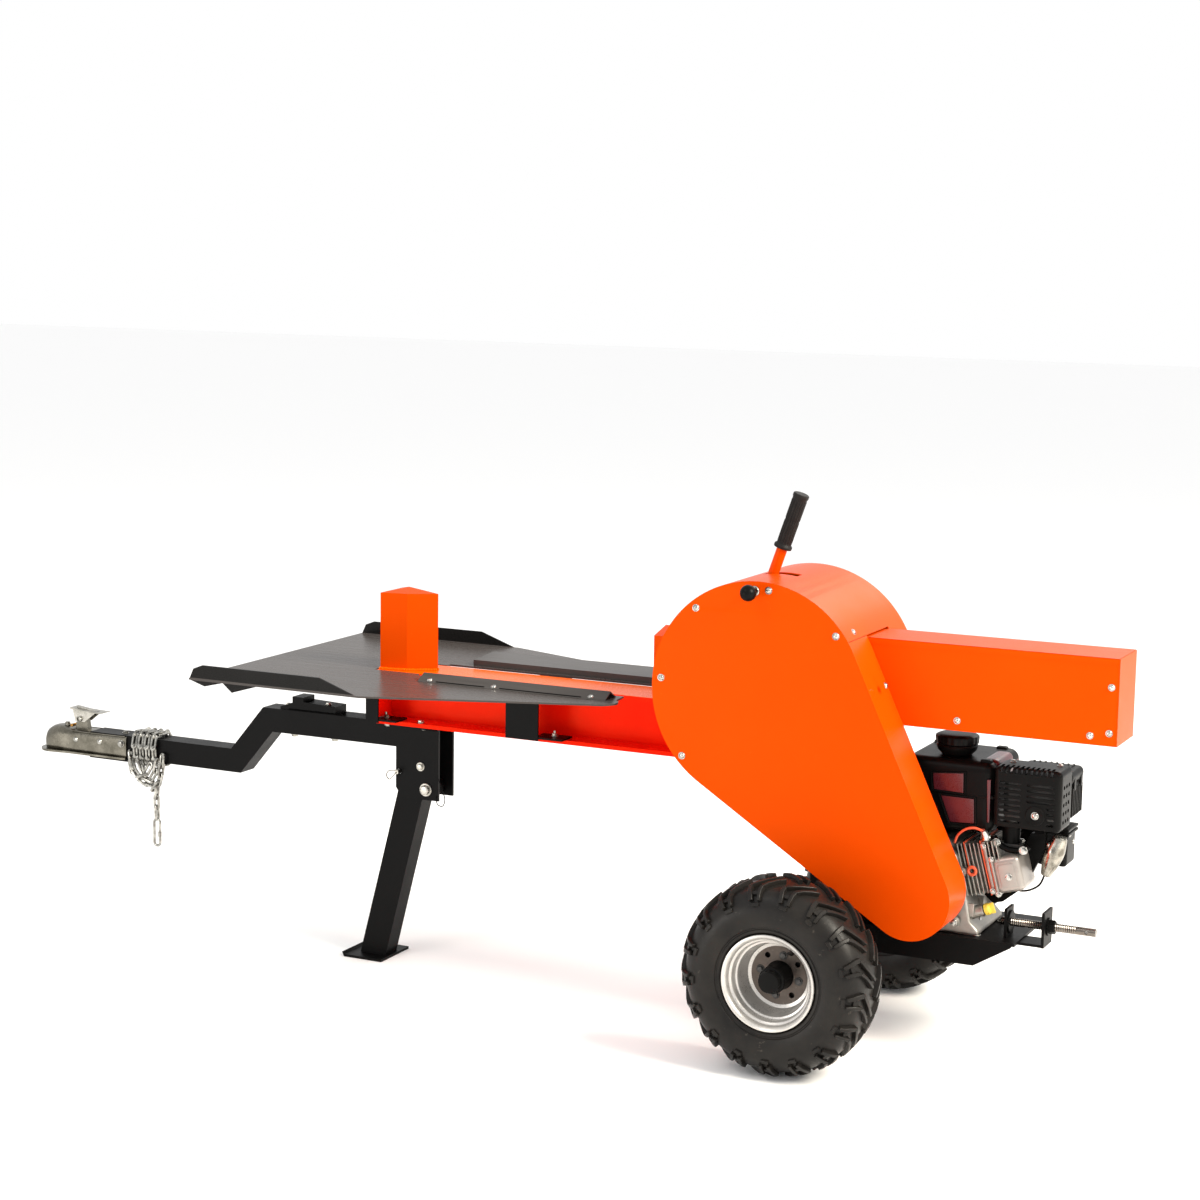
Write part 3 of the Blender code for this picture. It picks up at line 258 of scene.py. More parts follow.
ALLOY = surface(
    "cast_aluminium", (0.42, 0.4, 0.37), 0.44, 0.85, second=(0.25, 0.235, 0.21), patch=35, grain=420,
    bump=0.22, rough_spread=0.14,
)
GREY_COVER = surface(
    "grey_rocker_cover", (0.4, 0.37, 0.34), 0.34, 0.6, second=(0.28, 0.25, 0.23), patch=20, bump=0.1,
)
POLISHED = surface(
    "polished_outlet", (0.44, 0.42, 0.37), 0.22, 1.0, second=(0.14, 0.13, 0.11), patch=50, contrast=0.3,
    grain=200, bump=0.12,
)
PLASTIC = surface(
    "black_plastic", (0.0032, 0.0032, 0.0032), 0.34, second=(0.005, 0.0048, 0.0045), patch=10, grain=700,
    bump=0.1, gloss=0.07,
)
RUBBER = surface(
    "grip_rubber", (0.0055, 0.005, 0.005), 0.5, second=(0.011, 0.009, 0.008), patch=30, bump=0.15,
    gloss=0.16,
)
MAROON = surface(
    "maroon_panel", (0.105, 0.012, 0.018), 0.3, second=(0.06, 0.006, 0.01), patch=14, grain=700,
    coat=0.2,
)
YELLOW = surface(
    "yellow_cap", (0.8, 0.62, 0.07), 0.42, second=(0.62, 0.45, 0.05), patch=60, grain=400, bump=0.1,
)
RED_GASKET = surface(
    "red_sealant", (0.72, 0.1, 0.03), 0.5, second=(0.5, 0.06, 0.02), patch=90, bump=0.2,
)


# ---------------------------------------------------------------- mesh helpers

# Directions: up, towards the belt guard's side, away from it, and along the machine from hitch to engine.
UP, NEAR, FAR, ALONG = (0, 0, 1), (0, -1, 0), (0, 1, 0), (1, 0, 0)

PARTS = bpy.data.collections.new("looks")
bpy.context.scene.collection.children.link(PARTS)


def mm(*values):
    """Millimetres as metres, for numbers and for tuples of them."""
    return [tuple(mm(*value)) if isinstance(value, tuple) else value / 1000 for value in values]


def link(mesh, name="piece"):
    obj = bpy.data.objects.new(name, mesh)
    PARTS.objects.link(obj)
    return obj


def from_bmesh(bm, name="piece"):
    mesh = bpy.data.meshes.new(name)
    bm.normal_update()
    bm.to_mesh(mesh)
    bm.free()
    return link(mesh, name)


def baked(obj):
    bpy.context.view_layer.update()
    graph = bpy.context.evaluated_depsgraph_get()
    mesh = bpy.data.meshes.new_from_object(obj.evaluated_get(graph))
    if obj.type == "MESH":
        obj.modifiers.clear()
        obj.data = mesh
        return obj
    bm = bmesh.new()
    bm.from_mesh(mesh)
    bmesh.ops.remove_doubles(bm, verts=bm.verts, dist=0.00001)
    bm.to_mesh(mesh)
    bm.free()
    made = link(mesh, obj.name)
    bpy.data.objects.remove(obj, do_unlink=True)
    return made


AXES = {
    "X": Matrix(((0, 0, 1, 0), (1, 0, 0, 0), (0, 1, 0, 0), (0, 0, 0, 1))),
    "Y": Matrix(((1, 0, 0, 0), (0, 0, -1, 0), (0, 1, 0, 0), (0, 0, 0, 1))),
    "Z": Matrix.Identity(4),
}


def plate(outlines, axis, low, high):
    curve = bpy.data.curves.new("outline", "CURVE")
    curve.dimensions = "2D"
    curve.fill_mode = "BOTH"
    curve.extrude = (high - low) / 2
    for outline in outlines:
        spline = curve.splines.new("POLY")
        spline.points.add(len(outline) - 1)
        for point, (a, b) in zip(spline.points, outline):
            point.co = (a, b, 0, 1)
        spline.use_cyclic_u = True
    obj = baked(link(curve))
    middle = (high + low) / 2
    obj.data.transform(AXES[axis] @ Matrix.Translation((0, 0, -middle if axis == "Y" else middle)))
    return obj


def box(low, high):
    bm = bmesh.new()
    bmesh.ops.create_cube(bm, size=1)
    low, high = Vector(low), Vector(high)
    for vert in bm.verts:
        vert.co = Vector(c * s for c, s in zip(vert.co, high - low)) + (high + low) / 2
    return from_bmesh(bm)


def rod(start, end, radius, sides=24, end_radius=None):
    start, end = Vector(start), Vector(end)
    along = end - start
    bm = bmesh.new()
    top = radius if end_radius is None else end_radius
    bmesh.ops.create_cone(
        bm, cap_ends=True, segments=sides, radius1=radius, radius2=top, depth=along.length
    )
    turn = Vector(UP).rotation_difference(along.normalized()).to_matrix().to_4x4()
    bm.transform(Matrix.Translation((start + end) / 2) @ turn)
    return from_bmesh(bm)


def aimed(place, axis):
    """The matrix that carries +Z at the origin to an axis at a place."""
    turn = Vector(UP).rotation_difference(Vector(axis).normalized()).to_matrix().to_4x4()
    return Matrix.Translation(place) @ turn


def lathe(profile, steps=48, closed=False):
    """A turned shape about Z from (radius, height) pairs that run from the top down the outside."""
    bm = bmesh.new()
    verts = [bm.verts.new((radius, 0, height)) for radius, height in profile]
    pairs = list(zip(verts, verts[1:]))
    if closed:
        pairs.append((verts[-1], verts[0]))
    for pair in pairs:
        bm.edges.new(pair)
    obj = from_bmesh(bm)
    screw = obj.modifiers.new("turn", "SCREW")
    screw.steps = steps
    screw.render_steps = steps
    screw.use_merge_vertices = True
    screw.merge_threshold = 0.00001
    return baked(obj)


def placed(obj, place, axis=UP):
    obj.data.transform(aimed(place, axis))
    return obj


def skin(bm, rings):
    """A closed skin over rings of points, each ring with as many points as the next."""
    rings = [[bm.verts.new(point) for point in ring] for ring in rings]
    for a, b in zip(rings, rings[1:]):
        for i in range(len(a)):
            j = (i + 1) % len(a)
            bm.faces.new((a[i], a[j], b[j], b[i]))
    bm.faces.new(rings[0][::-1])
    bm.faces.new(rings[-1])


def wire(points, radius, sides=4, cyclic=False):
    curve = bpy.data.curves.new("wire", "CURVE")
    curve.dimensions = "3D"
    curve.bevel_depth = radius
    curve.bevel_resolution = sides
    curve.use_fill_caps = not cyclic
    spline = curve.splines.new("POLY")
    spline.points.add(len(points) - 1)
    for point, place in zip(spline.points, points):
        point.co = (*place, 1)
    spline.use_cyclic_u = cyclic
    return baked(link(curve))


def smooth_path(points, per=8):
    """Points on a smooth curve through the given points."""
    points = [Vector(p) for p in points]
    padded = [points[0] * 2 - points[1], *points, points[-1] * 2 - points[-2]]
    made = []
    for i in range(1, len(padded) - 2):
        a, b, c, d = padded[i - 1 : i + 3]
        for step in range(per):
            t = step / per
            made.append(
                0.5 * (
                    2 * b + (c - a) * t + (2 * a - 5 * b + 4 * c - d) * t * t + (3 * b - a - 3 * c + d) * t**3
                )
            )
    return made + [points[-1]]


def combine(target, others, operation):
    for other in others:
        step = target.modifiers.new("boolean", "BOOLEAN")
        step.operation = operation
        step.object = other
        target = baked(target)
        bpy.data.objects.remove(other, do_unlink=True)
    return target


def cut(target, *others):
    return combine(target, others, "DIFFERENCE")


def joined(target, *others):
    return combine(target, others, "UNION")


def merged(objects):
    """Several meshes as one object, each left as it is."""
    bm = bmesh.new()
    for obj in objects:
        bm.from_mesh(obj.data)
        bpy.data.objects.remove(obj, do_unlink=True)
    return from_bmesh(bm)


def bevelled(obj, width, segments=2, angle=35):
    step = obj.modifiers.new("edge", "BEVEL")
    step.width = width
    step.segments = segments
    step.limit_method = "ANGLE"
    step.angle_limit = radians(angle)
    step.use_clamp_overlap = True
    return baked(obj)


def sheet(outline, low, high, edge=0, segments=2, angle=35):
    """A plate across the machine from one outline of (x, z) points, with its edges rounded if asked."""
    made = plate([outline], "Y", low, high)
    return bevelled(made, edge, segments, angle) if edge else made


def rounded_box(low, high, radius, segments=3):
    return bevelled(box(low, high), radius, segments)


def arc(centre, radius, start, end, steps):
    made = []
    for i in range(steps + 1):
        angle = radians(start + (end - start) * i / steps)
        made.append((centre[0] + radius * cos(angle), centre[1] + radius * sin(angle)))
    return made


def piece(obj, name, material, body="base", stands_for=None):
    """Names a finished piece, moves it into the part's frame, hangs it on the body it rides on and hides the
    node it stands for.
    """
    obj.name = name
    obj.data.name = name
    obj.data.transform(Matrix.Translation((AXLE_X, 0, -GROUND)))
    obj.data.materials.clear()
    obj.data.materials.append(material)
    obj.data.shade_smooth()
    obj.data.set_sharp_from_angle(angle=SMOOTH)
    even = obj.modifiers.new("normals", "WEIGHTED_NORMAL")
    even.keep_sharp = True
    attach(obj, body)
    if stands_for:
        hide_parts(stands_for)


def turned(size, steps, *profile):
    """A turned shape whose (radius, height) pairs are given as parts of a size."""
    return lathe([(size * radius, size * height) for radius, height in profile], steps)


def hex_bolt(place, axis, size):
    """A hexagon head on a washer, its chamfered face outwards, with the washer's back at the place."""
    washer = turned(size, 28, (0, 0.3), (1.22, 0.3), (1.3, 0.22), (1.3, 0), (0, 0))
    head = turned(size, 6, (0, 0.98), (0.62, 0.98), (0.86, 0.94), (1, 0.82), (1, 0.28), (0, 0.28))
    return placed(merged([washer, head]), place, axis)


def pan_screw(place, axis, size):
    """A domed screw head with a raised ring round its recess, on a thin washer."""
    washer = turned(size, 28, (0, 0.16), (1.22, 0.16), (1.3, 0), (0, 0))
    top = ((0, 0.52), (0.18, 0.52), (0.22, 0.66), (0.55, 0.6), (0.82, 0.44))
    dome = turned(size, 24, *top, (0.97, 0.22), (0.97, 0.12), (0, 0.12))
    return placed(merged([washer, dome]), place, axis)


def fasteners(heads, name, material=SCREW_STEEL, body="base"):
    piece(merged(heads), name, material, body)


# ---------------------------------------------------------------- wheels

CARCASS = mm(
    (0, 193.2), (18, 192.6), (36, 190.3), (50, 186), (60, 179.6), (68, 171.4), (74, 161.6), (77.5, 150.2),
    (79, 140), (78.5, 129), (77, 121.5),
)
LUG_HEIGHT = 0.0096
CHEVRONS = 17


def on_carcass(s, u, lift):
    """A point on the tyre's shell: s along its section from the crown, u round the crown, raised by lift."""
    rest = s
    for (a0, r0), (a1, r1) in zip(CARCASS, CARCASS[1:]):
        run = math.hypot(a1 - a0, r1 - r0)
        if rest <= run or (a1, r1) == CARCASS[-1]:
            t = rest / run
            out, radius = a0 + (a1 - a0) * t, r0 + (r1 - r0) * t
            nx, nr = -(r1 - r0) / run, (a1 - a0) / run
            break
        rest -= run
    out, radius = out + nx * lift, radius + nr * lift
    turn = u / CARCASS[0][1]
    return Vector((radius * sin(turn), out, radius * cos(turn)))


def strip(bm, path, half, height, side, start):
    """A raised bar along (s, u) points on the tyre, with sloping flanks."""
    rings = []
    for i, (s, u) in enumerate(path):
        before, after = path[max(i - 1, 0)], path[min(i + 1, len(path) - 1)]
        ds, du = after[0] - before[0], after[1] - before[1]
        run = math.hypot(ds, du) or 1.0
        across = (-du / run, ds / run)
        ring = []
        for edge, lift, width in ((-1, -0.002, 1), (1, -0.002, 1), (1, height, 0.72), (-1, height, 0.72)):
            spot = (s + across[0] * half * width * edge, u + across[1] * half * width * edge)
            point = on_carcass(max(spot[0], 0.0004), start + spot[1], lift)
            ring.append((point.x, point.y * side, point.z))
        rings.append(ring)
    skin(bm, rings)


# Each bar of the tread: its (s, u) path, its half width, and its height as a share of the lug's.
TREAD_BARS = [
    (mm((3, 0), (12, 8), (24, 21), (36, 36), (46, 50)), 0.0046, 1),
    (mm((16, -12), (28, 1), (40, 14), (50, 24)), 0.0042, 1),
    (mm((44, 50), (56, 50), (68, 47), (80, 44)), 0.006, 0.95),
    (mm((50, 24), (60, 26), (72, 26), (81, 25)), 0.005, 0.9),
    (mm((63, 26), (64, 36), (64, 48)), 0.005, 0.55),
    (mm((87.5, 26), (87.5, 36), (87, 45)), 0.0045, 0.42),
]


def tyre(name, side, body):
    section = mm((100, 69), (103.5, 73.5), (108.5, 74.5), (110, 72.8), (112.5, 73), (114, 75.2))
    section += [(radius, out) for out, radius in reversed(CARCASS)]
    section = section + [(r, -h) for r, h in reversed(section[:-1])]
    section += mm((92.5, -64), (92.5, 64))
    carcass = placed(lathe(section, 96, closed=True), (0, 0, 0), NEAR)
    bm = bmesh.new()
    pitch = 2 * math.pi * CARCASS[0][1] / CHEVRONS
    for i in range(CHEVRONS):
        for wall, shift in ((1, 0), (-1, pitch / 2)):
            start = i * pitch + shift
            for path, half, share in TREAD_BARS:
                strip(bm, path, half, LUG_HEIGHT * share, wall, start)
    bmesh.ops.recalc_face_normals(bm, faces=bm.faces)
    lugs = bevelled(from_bmesh(bm), 0.0008, 1, 30)
    whole = merged([carcass, lugs])
    if side < 0:
        whole.data.transform(Matrix.Rotation(math.pi, 4, "Z"))
    whole.data.transform(Matrix.Translation((0, side * WHEEL_Y, AXLE_Z)))
    piece(whole, name, TYRE, body, stands_for=f"tyre_{body.split('_')[1]}")


def wheel(side, word):
    """The rolled barrel with its stepped bowl, the dished disc with its nuts, and the black hub."""
    body = f"wheel_{word}"
    tyre(f"tread_{word}", side, body)
    barrel = mm(
        (92, 74.5), (94.8, 76.5), (98.3, 75.5), (98.9, 72.5), (96.6, 70), (93.4, 66.5), (91.5, 64),
        (91.1, 30), (91.1, -64), (97.5, -70), (98.3, -75), (93.8, -76.5), (90.6, -70), (88.3, -63),
        (86.9, -20), (71.8, 2), (58.9, 3.5), (58.9, 8), (62.1, 9), (66.8, 10.5), (69, 13.5), (70.5, 20),
        (74.2, 42), (76, 45), (79.6, 46.2), (80.8, 49), (81.4, 55), (82.6, 59), (84.2, 60.3), (87.4, 62),
        (88.8, 70),
    )
    disc = mm((20, 7), (52, 7), (60.7, 8.5), (60.7, 3), (20, 3))
    hub = mm((15, 46), (25, 46), (25.5, 44), (25.5, 7), (30, 6.8), (30, -30), (13.5, -30), (13.5, 46))
    out = (0, side, 0)
    centre = (0, side * WHEEL_Y, AXLE_Z)
    piece(
        placed(lathe(barrel, 80, closed=True), centre, out), f"rim_bowl_{word}", RIM_SILVER, body,
        stands_for=f"rim_{word}",
    )
    holes = []
    for i in range(4):
        x, y = arc((0, 0), 0.0465, 35 + 90 * i, 35 + 90 * i, 1)[0]
        holes.append(rod((x, y, -0.01), (x, y, 0.05), 0.006, 20))
    plate_ring = cut(lathe(disc, 72, closed=True), *holes)
    piece(
        placed(merged([bevelled(plate_ring, 0.0006, 1, 50), lathe(hub, 48, closed=True)]), centre, out),
        f"rim_disc_{word}", RIM_DISC, body,
    )
    cap = lathe(
        mm(
            (0, 69), (18.5, 69), (21.5, 68), (22.8, 65.5), (23.2, 54), (26.8, 52.5), (27.8, 50), (27.8, 12),
            (30, 8), (0, 8),
        ),
        48,
    )
    piece(placed(cap, centre, out), f"hub_cap_{word}", PLASTIC, body)
    drum = lathe(mm((24, -2), (56, -2), (56, -14), (24, -14)), 48, closed=True)
    piece(placed(drum, centre, out), f"hub_drum_{word}", BLACK, body)
    nuts = []
    for i in range(4):
        x, z = arc((0, 0), 0.042, 80 + 90 * i, 80 + 90 * i, 1)[0]
        nuts.append(hex_bolt(Vector(centre) + Vector((x, side * 0.0068, z)), out, 0.0066))
    fasteners(nuts, f"wheel_nuts_{word}", CAST, body)
    stem = lathe(mm((0, 26), (2.2, 26), (2.6, 22), (3.4, 19), (3.4, 6), (4.8, 2), (5.2, 0), (0, 0)), 20)
    spot = Vector(centre) + Vector((-side * 0.024, side * 0.0075, 0.048))
    piece(placed(stem, spot, (-side * 0.12, side, 0.3)), f"valve_stem_{word}", RUBBER, body)


# ---------------------------------------------------------------- guards and covers


def loop(first, big, second, small, steps):
    first, second = Vector(first), Vector(second)
    line = second - first
    heading = math.degrees(math.atan2(line.y, line.x))
    lean = math.degrees(math.acos((big - small) / line.length))
    big_steps = round(steps * (1 - lean / 180))
    return arc(first, big, heading + lean, heading - lean + 360, big_steps) + arc(
        second, small, heading - lean, heading + lean, steps - big_steps
    )


def belt_outline(inset, steps=128):
    return loop(DRUM, DRUM_R - inset, CRANK, NOSE_R - inset, steps)


def sector(margin):
    return [DRUM] + arc(DRUM, 0.3, SEAM_DEG - margin, COVER_FRONT_DEG + margin, 24)


def guards():
    shell = sheet(belt_outline(0), GUARD_FACE, GUARD_BACK)
    room = sheet(belt_outline(SHEET), GUARD_FACE + SHEET, 0)
    open_side = sheet(sector(0.15), GUARD_FACE + SHEET + 0.0001, 0)
    hole = rod(mm(-139, -190, 959), mm(-139, -160, 959), 0.0056, 24)
    shell = bevelled(cut(shell, room, open_side, hole), 0.0009, 2, 60)
    piece(shell, "belt_guard_shell", ORANGE, stands_for="belt_guard")
    low = GUARD_FACE + SHEET + 0.0005
    ring = plate(
        [arc(DRUM, DRUM_R, 0, 357, 119), arc(DRUM, DRUM_R - SHEET, 0, 357, 119)], "Y", low, COVER_FAR,
    )
    front = sheet(arc(DRUM, DRUM_R + 0.01, 0, 357, 119), -0.2, -GUARD_BACK)
    front = cut(front, sheet(sector(-0.15), -0.3, 0.1))
    face = sheet(arc(DRUM, DRUM_R, 0, 357, 119), COVER_FAR - SHEET, COVER_FAR)
    slot = box(mm(-176, -45, 900), mm(-98, -15, 1100))
    cover = bevelled(cut(joined(cut(ring, front), face), slot), 0.0008, 2, 60)
    piece(cover, "flywheel_cover_shell", ORANGE, stands_for="flywheel_cover")
    seam = sheet(
        arc(DRUM, DRUM_R - SHEET - 0.0005, 24, 38, 8) + arc(DRUM, DRUM_R - SHEET - 0.002, 38, 24, 8), -0.168,
        -0.068,
    )
    piece(seam, "cover_seam_strip", BLACK)
    lip = rounded_box(mm(50, -65.5, 862.5), mm(68.8, 65.5, 865.2), 0.0008, 1)
    lid = [plate(mm(((69, 865.5), (589.5, 865.5), (589.5, 866.2), (69, 866.2))), "Y", -0.0668, 0.0668)]
    for side in (-1, 1):
        lid.append(
            box(
                (0.069, min(side * 0.0661, side * 0.0668), 0.8535),
                (0.5895, max(side * 0.0661, side * 0.0668), 0.8662),
            )
        )
        lid.append(box((0.5902, side * 0.033 - 0.033, 0.69), (0.5912, side * 0.033 + 0.033, 0.8655)))
    piece(merged([lip, *lid]), "rack_cover_lid", ORANGE)


def cover_screws():
    face = GUARD_FACE
    spots = mm((-269, 914), (39, 880), (-109, 962), (-345, 761), (-294, 600))
    heads = [pan_screw((x, face, z), NEAR, 0.0062) for x, z in spots]
    for x, z in mm((582, 808), (581, 716), (543, 708), (270, 711)):
        for side in (-1, 1):
            heads.append(pan_screw((x - 0.006, side * 0.066, z), (0, side, 0), 0.0058))
    heads.append(pan_screw(mm(129, -120, 779.5), (0.906, 0, 0.423), 0.0058))
    for degrees, y in ((36, -0.12), (140, 0.135)):
        x, z = arc(DRUM, DRUM_R, degrees, degrees, 1)[0]
        out = (cos(radians(degrees)), 0, sin(radians(degrees)))
        heads.append(pan_screw((x, y, z), out, 0.0055))
    for degrees in range(0, 360, 45):
        x, z = arc(DRUM, DRUM_R - 0.016, degrees, degrees, 1)[0]
        heads.append(pan_screw((x, COVER_FAR, z), FAR, 0.0062))
    fasteners(heads, "cover_screws")


# ---------------------------------------------------------------- chain, coupler and leg


def chain_link(centre, direction, flat, length=0.034, width=0.0125, radius=0.0033):
    """One welded link: a long ring whose straight runs lie along a direction."""
    direction = Vector(direction).normalized()
    flat = Vector(flat)
    flat = (flat - direction * flat.dot(direction)).normalized()
    bend = width / 2 - radius * 0.2
    half = length / 2 - bend
    points = []
    for start, sign in ((-90, 1), (90, -1)):
        for i in range(9):
            a = radians(start + 22.5 * i)
            points.append(Vector(centre) + direction * (sign * half + bend * cos(a)) + flat * (bend * sin(a)))
    return wire(points, radius, 3, cyclic=True)


def chain(points, pitch=0.0255, start_flat=FAR, twist=90):
    """Links spaced along a path, each turned a quarter from the one before."""
    path = smooth_path(points, 24)
    links, travelled, next_at, flip = [], 0.0, 0.0, 0
    for a, b in zip(path, path[1:]):
        travelled += (b - a).length
        if travelled < next_at:
            continue
        heading = (b - a).normalized()
        side = Vector(start_flat)
        side = (side - heading * side.dot(heading)).normalized()
        turn = Matrix.Rotation(radians(twist * flip), 3, heading)
        links.append(chain_link(b, heading, turn @ side))
        flip += 1
        next_at += pitch
    return links


def chains():
    wraps = []
    r = 0.0355
    for x in mm(-1799, -1781, -1763, -1744):
        ring = []
        for a in range(0, 361, 15):
            c, s = cos(radians(a)), sin(radians(a))
            reach = r / max(abs(c), abs(s), 0.86)
            ring.append((x + 0.014 * a / 360, reach * c, 0.432 + reach * s))
        wraps += chain(ring, 0.0262, ALONG)
    drapes = mm(
        ((-1805, -36, 412), (-1800, -38, 385), (-1785, -38, 366), (-1760, -37, 352), (-1735, -34, 346)),
        ((-1735, -34, 346), (-1722, -35, 362), (-1716, -37, 388), (-1714, -36, 412)),
        ((-1798, -41, 400), (-1788, -43, 378), (-1768, -43, 372), (-1752, -42, 385), (-1744, -40, 404)),
        ((-1776, -38, 402), (-1765, -40, 372), (-1750, -40, 362), (-1734, -40, 378), (-1728, -38, 402)),
    )
    for i, path in enumerate(drapes):
        wraps += chain(path, 0.0235, (0.4 * (i % 2), 1, 0))
    piece(merged(wraps), "chain_wraps", CHAIN_STEEL, stands_for="safety_chain")
    tail = chain(mm((-1735, -29, 332), (-1736, -29, 310), (-1735, -29, 276)), 0.0255)
    quick = []
    for start, sign in ((-90, 1), (90, -1)):
        for i in range(9):
            a = radians(start + 22.5 * i)
            quick.append((-1.735 + 0.0082 * sin(a), -0.029, 0.232 + sign * 0.0245 + 0.0082 * cos(a)))
    tail.append(wire(quick, 0.0033, 3, cyclic=True))
    nut = lathe(mm((0, 13), (3, 13), (4.8, 11), (4.8, 1), (3.5, 0), (0, 0)), 6)
    tail.append(placed(nut, mm(-1727.5, -29, 222)))
    piece(merged(tail), "chain_tail_links", CHAIN_STEEL, "chain_end", stands_for="chain_tail")


LATCH_Z = 0.4845
# Sections of the coupler from its nose back: x, half width, top, and how square the section is.
COUPLER_RINGS = [
    (-2.0735, 0.014, 0.431, 2.2), (-2.0705, 0.0225, 0.4435, 2.3), (-2.063, 0.029, 0.455, 2.5),
    (-2.05, 0.0328, 0.4622, 2.8), (-2.036, 0.034, 0.4645, 3.0), (-2.02, 0.0335, 0.4635, 3.2),
    (-2.004, 0.0325, 0.4595, 4.0), (-1.99, 0.0318, 0.458, 5.0), (-1.83, 0.0322, 0.459, 6.0),
    (-1.822, 0.0326, 0.46, 6.0),
]


def coupler_shell():
    """The pressed body, domed over the ball and squared towards the tongue, with its rolled lower lip."""
    bm = bmesh.new()
    low, rings = 0.4045, []
    for x, half, top, power in COUPLER_RINGS:
        middle, rise, ring = (top + low) / 2, (top - low) / 2, []
        for i in range(36):
            a = 2 * math.pi * i / 36
            c, s = cos(a), sin(a)
            y = half * math.copysign(abs(c) ** (2 / power), c)
            if s < 0:
                y = half * math.copysign(abs(c) ** 0.16, c)
            ring.append((x, y, middle + rise * math.copysign(abs(s) ** (2 / power), s)))
        rings.append(ring)
    skin(bm, rings)
    bmesh.ops.recalc_face_normals(bm, faces=bm.faces)
    shell = from_bmesh(bm)
    outline = arc(mm(-2044, 0), 0.0455, 90, 270, 24) + mm((-1985, -39.5), (-1830, -38.5), (-1824, -34))
    outline += mm((-1824, 34), (-1830, 38.5), (-1985, 39.5))
    lip = bevelled(plate([outline], "Z", 0.4012, 0.4062), 0.0018, 2)
    whole = joined(shell, lip)
    ball = rod(mm(-2040, 0, 395), mm(-2040, 0, 440), 0.0262, 40)
    whole = cut(whole, bevelled(ball, 0.01, 4), box(mm(-2020, -24, 395), mm(-1900, 24, 436)))
    edges = [wire([(-1.985, y, 0.456), (-1.826, y, 0.4572)], 0.0014, 3) for y in mm(-30, 30)]
    lug = mm((-1991, 455), (-1953, 455), (-1958, 488), (-1964, 492.5), (-1980, 492.5), (-1986, 488))
    lug = cut(sheet(lug, -0.0075, 0.0075), rod((-1.972, -0.02, LATCH_Z), (-1.972, 0.02, LATCH_Z), 0.0046, 24))
    piece(
        merged([whole, bevelled(lug, 0.0012, 2, 50), *edges]), "coupler_pressing", COUPLER_STEEL,
        stands_for="coupler",
    )
    tube = bevelled(box(mm(-1936, -26.5, 394.5), mm(-1800, 26.5, 404)), 0.002, 2)
    piece(tube, "coupler_insert", BLACK)


def coupler_details():
    coupler_shell()
    heads = []
    dimple = mm((0, 2), (4, 1.8), (6.2, 0.8), (7.2, -1), (0, -1))
    for x, z in mm((-1972, 436), (-1901, 438)):
        for side in (-1, 1):
            heads.append(placed(lathe(dimple, 24), (x, side * 0.0322, z), (0, side, 0)))
    for side in (-1, 1):
        heads.append(hex_bolt((-1.836, side * 0.0324, 0.44), (0, side, 0), 0.0072))
    heads.append(hex_bolt(mm(-1846, 0, 458.8), UP, 0.007))
    fasteners(heads, "coupler_bolts", CHAIN_STEEL)
    paddle = mm((-2000, 22), (-1960, 19), (-1915, 17.5), (-1904, 19), (-1904, 21.5))
    paddle += mm((-1915, 20.5), (-1960, 22.2), (-1992, 26.2), (-2000, 27))
    paddle = sheet([(x, LATCH_Z + z) for x, z in paddle], -0.017, 0.017, 0.001, 2)
    arm = mm((-1986, -7), (-1958, -7), (-1925, 18.5), (-1994, 22.5))
    arms = []
    for low in mm(-15, 12.5):
        arms.append(sheet([(x, LATCH_Z + z) for x, z in arm], low, low + 0.0025, 0.0008, 2))
    rib = mm((-1990, 23.5), (-1940, 19.5), (-1925, 21.5), (-1985, 29))
    rib = sheet([(x, LATCH_Z + z) for x, z in rib], -0.006, 0.006, 0.0012)
    pin = rod((-1.972, -0.0165, LATCH_Z), (-1.972, 0.0165, LATCH_Z), 0.0042, 24)
    piece(merged([paddle, rib, pin, *arms]), "latch_paddle", ZINC, "latch", stands_for="coupler_latch")
    coil = []
    for i in range(48):
        a = radians(30 * i)
        coil.append((-1.972 + 0.0064 * cos(a), -0.0158 - 0.00011 * i, LATCH_Z + 0.0064 * sin(a)))
    piece(wire(coil, 0.001, 3), "latch_spring", CHAIN_STEEL, "latch")
    keeper = rod(mm(-1999, -13, 465.5), mm(-1999, 13, 465.5), 0.0038, 20)
    piece(bevelled(keeper, 0.0008, 2), "latch_keeper_pin", BRASS)
    nose = mm((0, 6.5), (5.2, 6.5), (6.4, 5), (6.4, 1), (7.8, 0), (7.8, -2), (0, -2))
    piece(placed(lathe(nose, 24), mm(-2020, 0, 464)), "coupler_grease_cap", POLISHED)


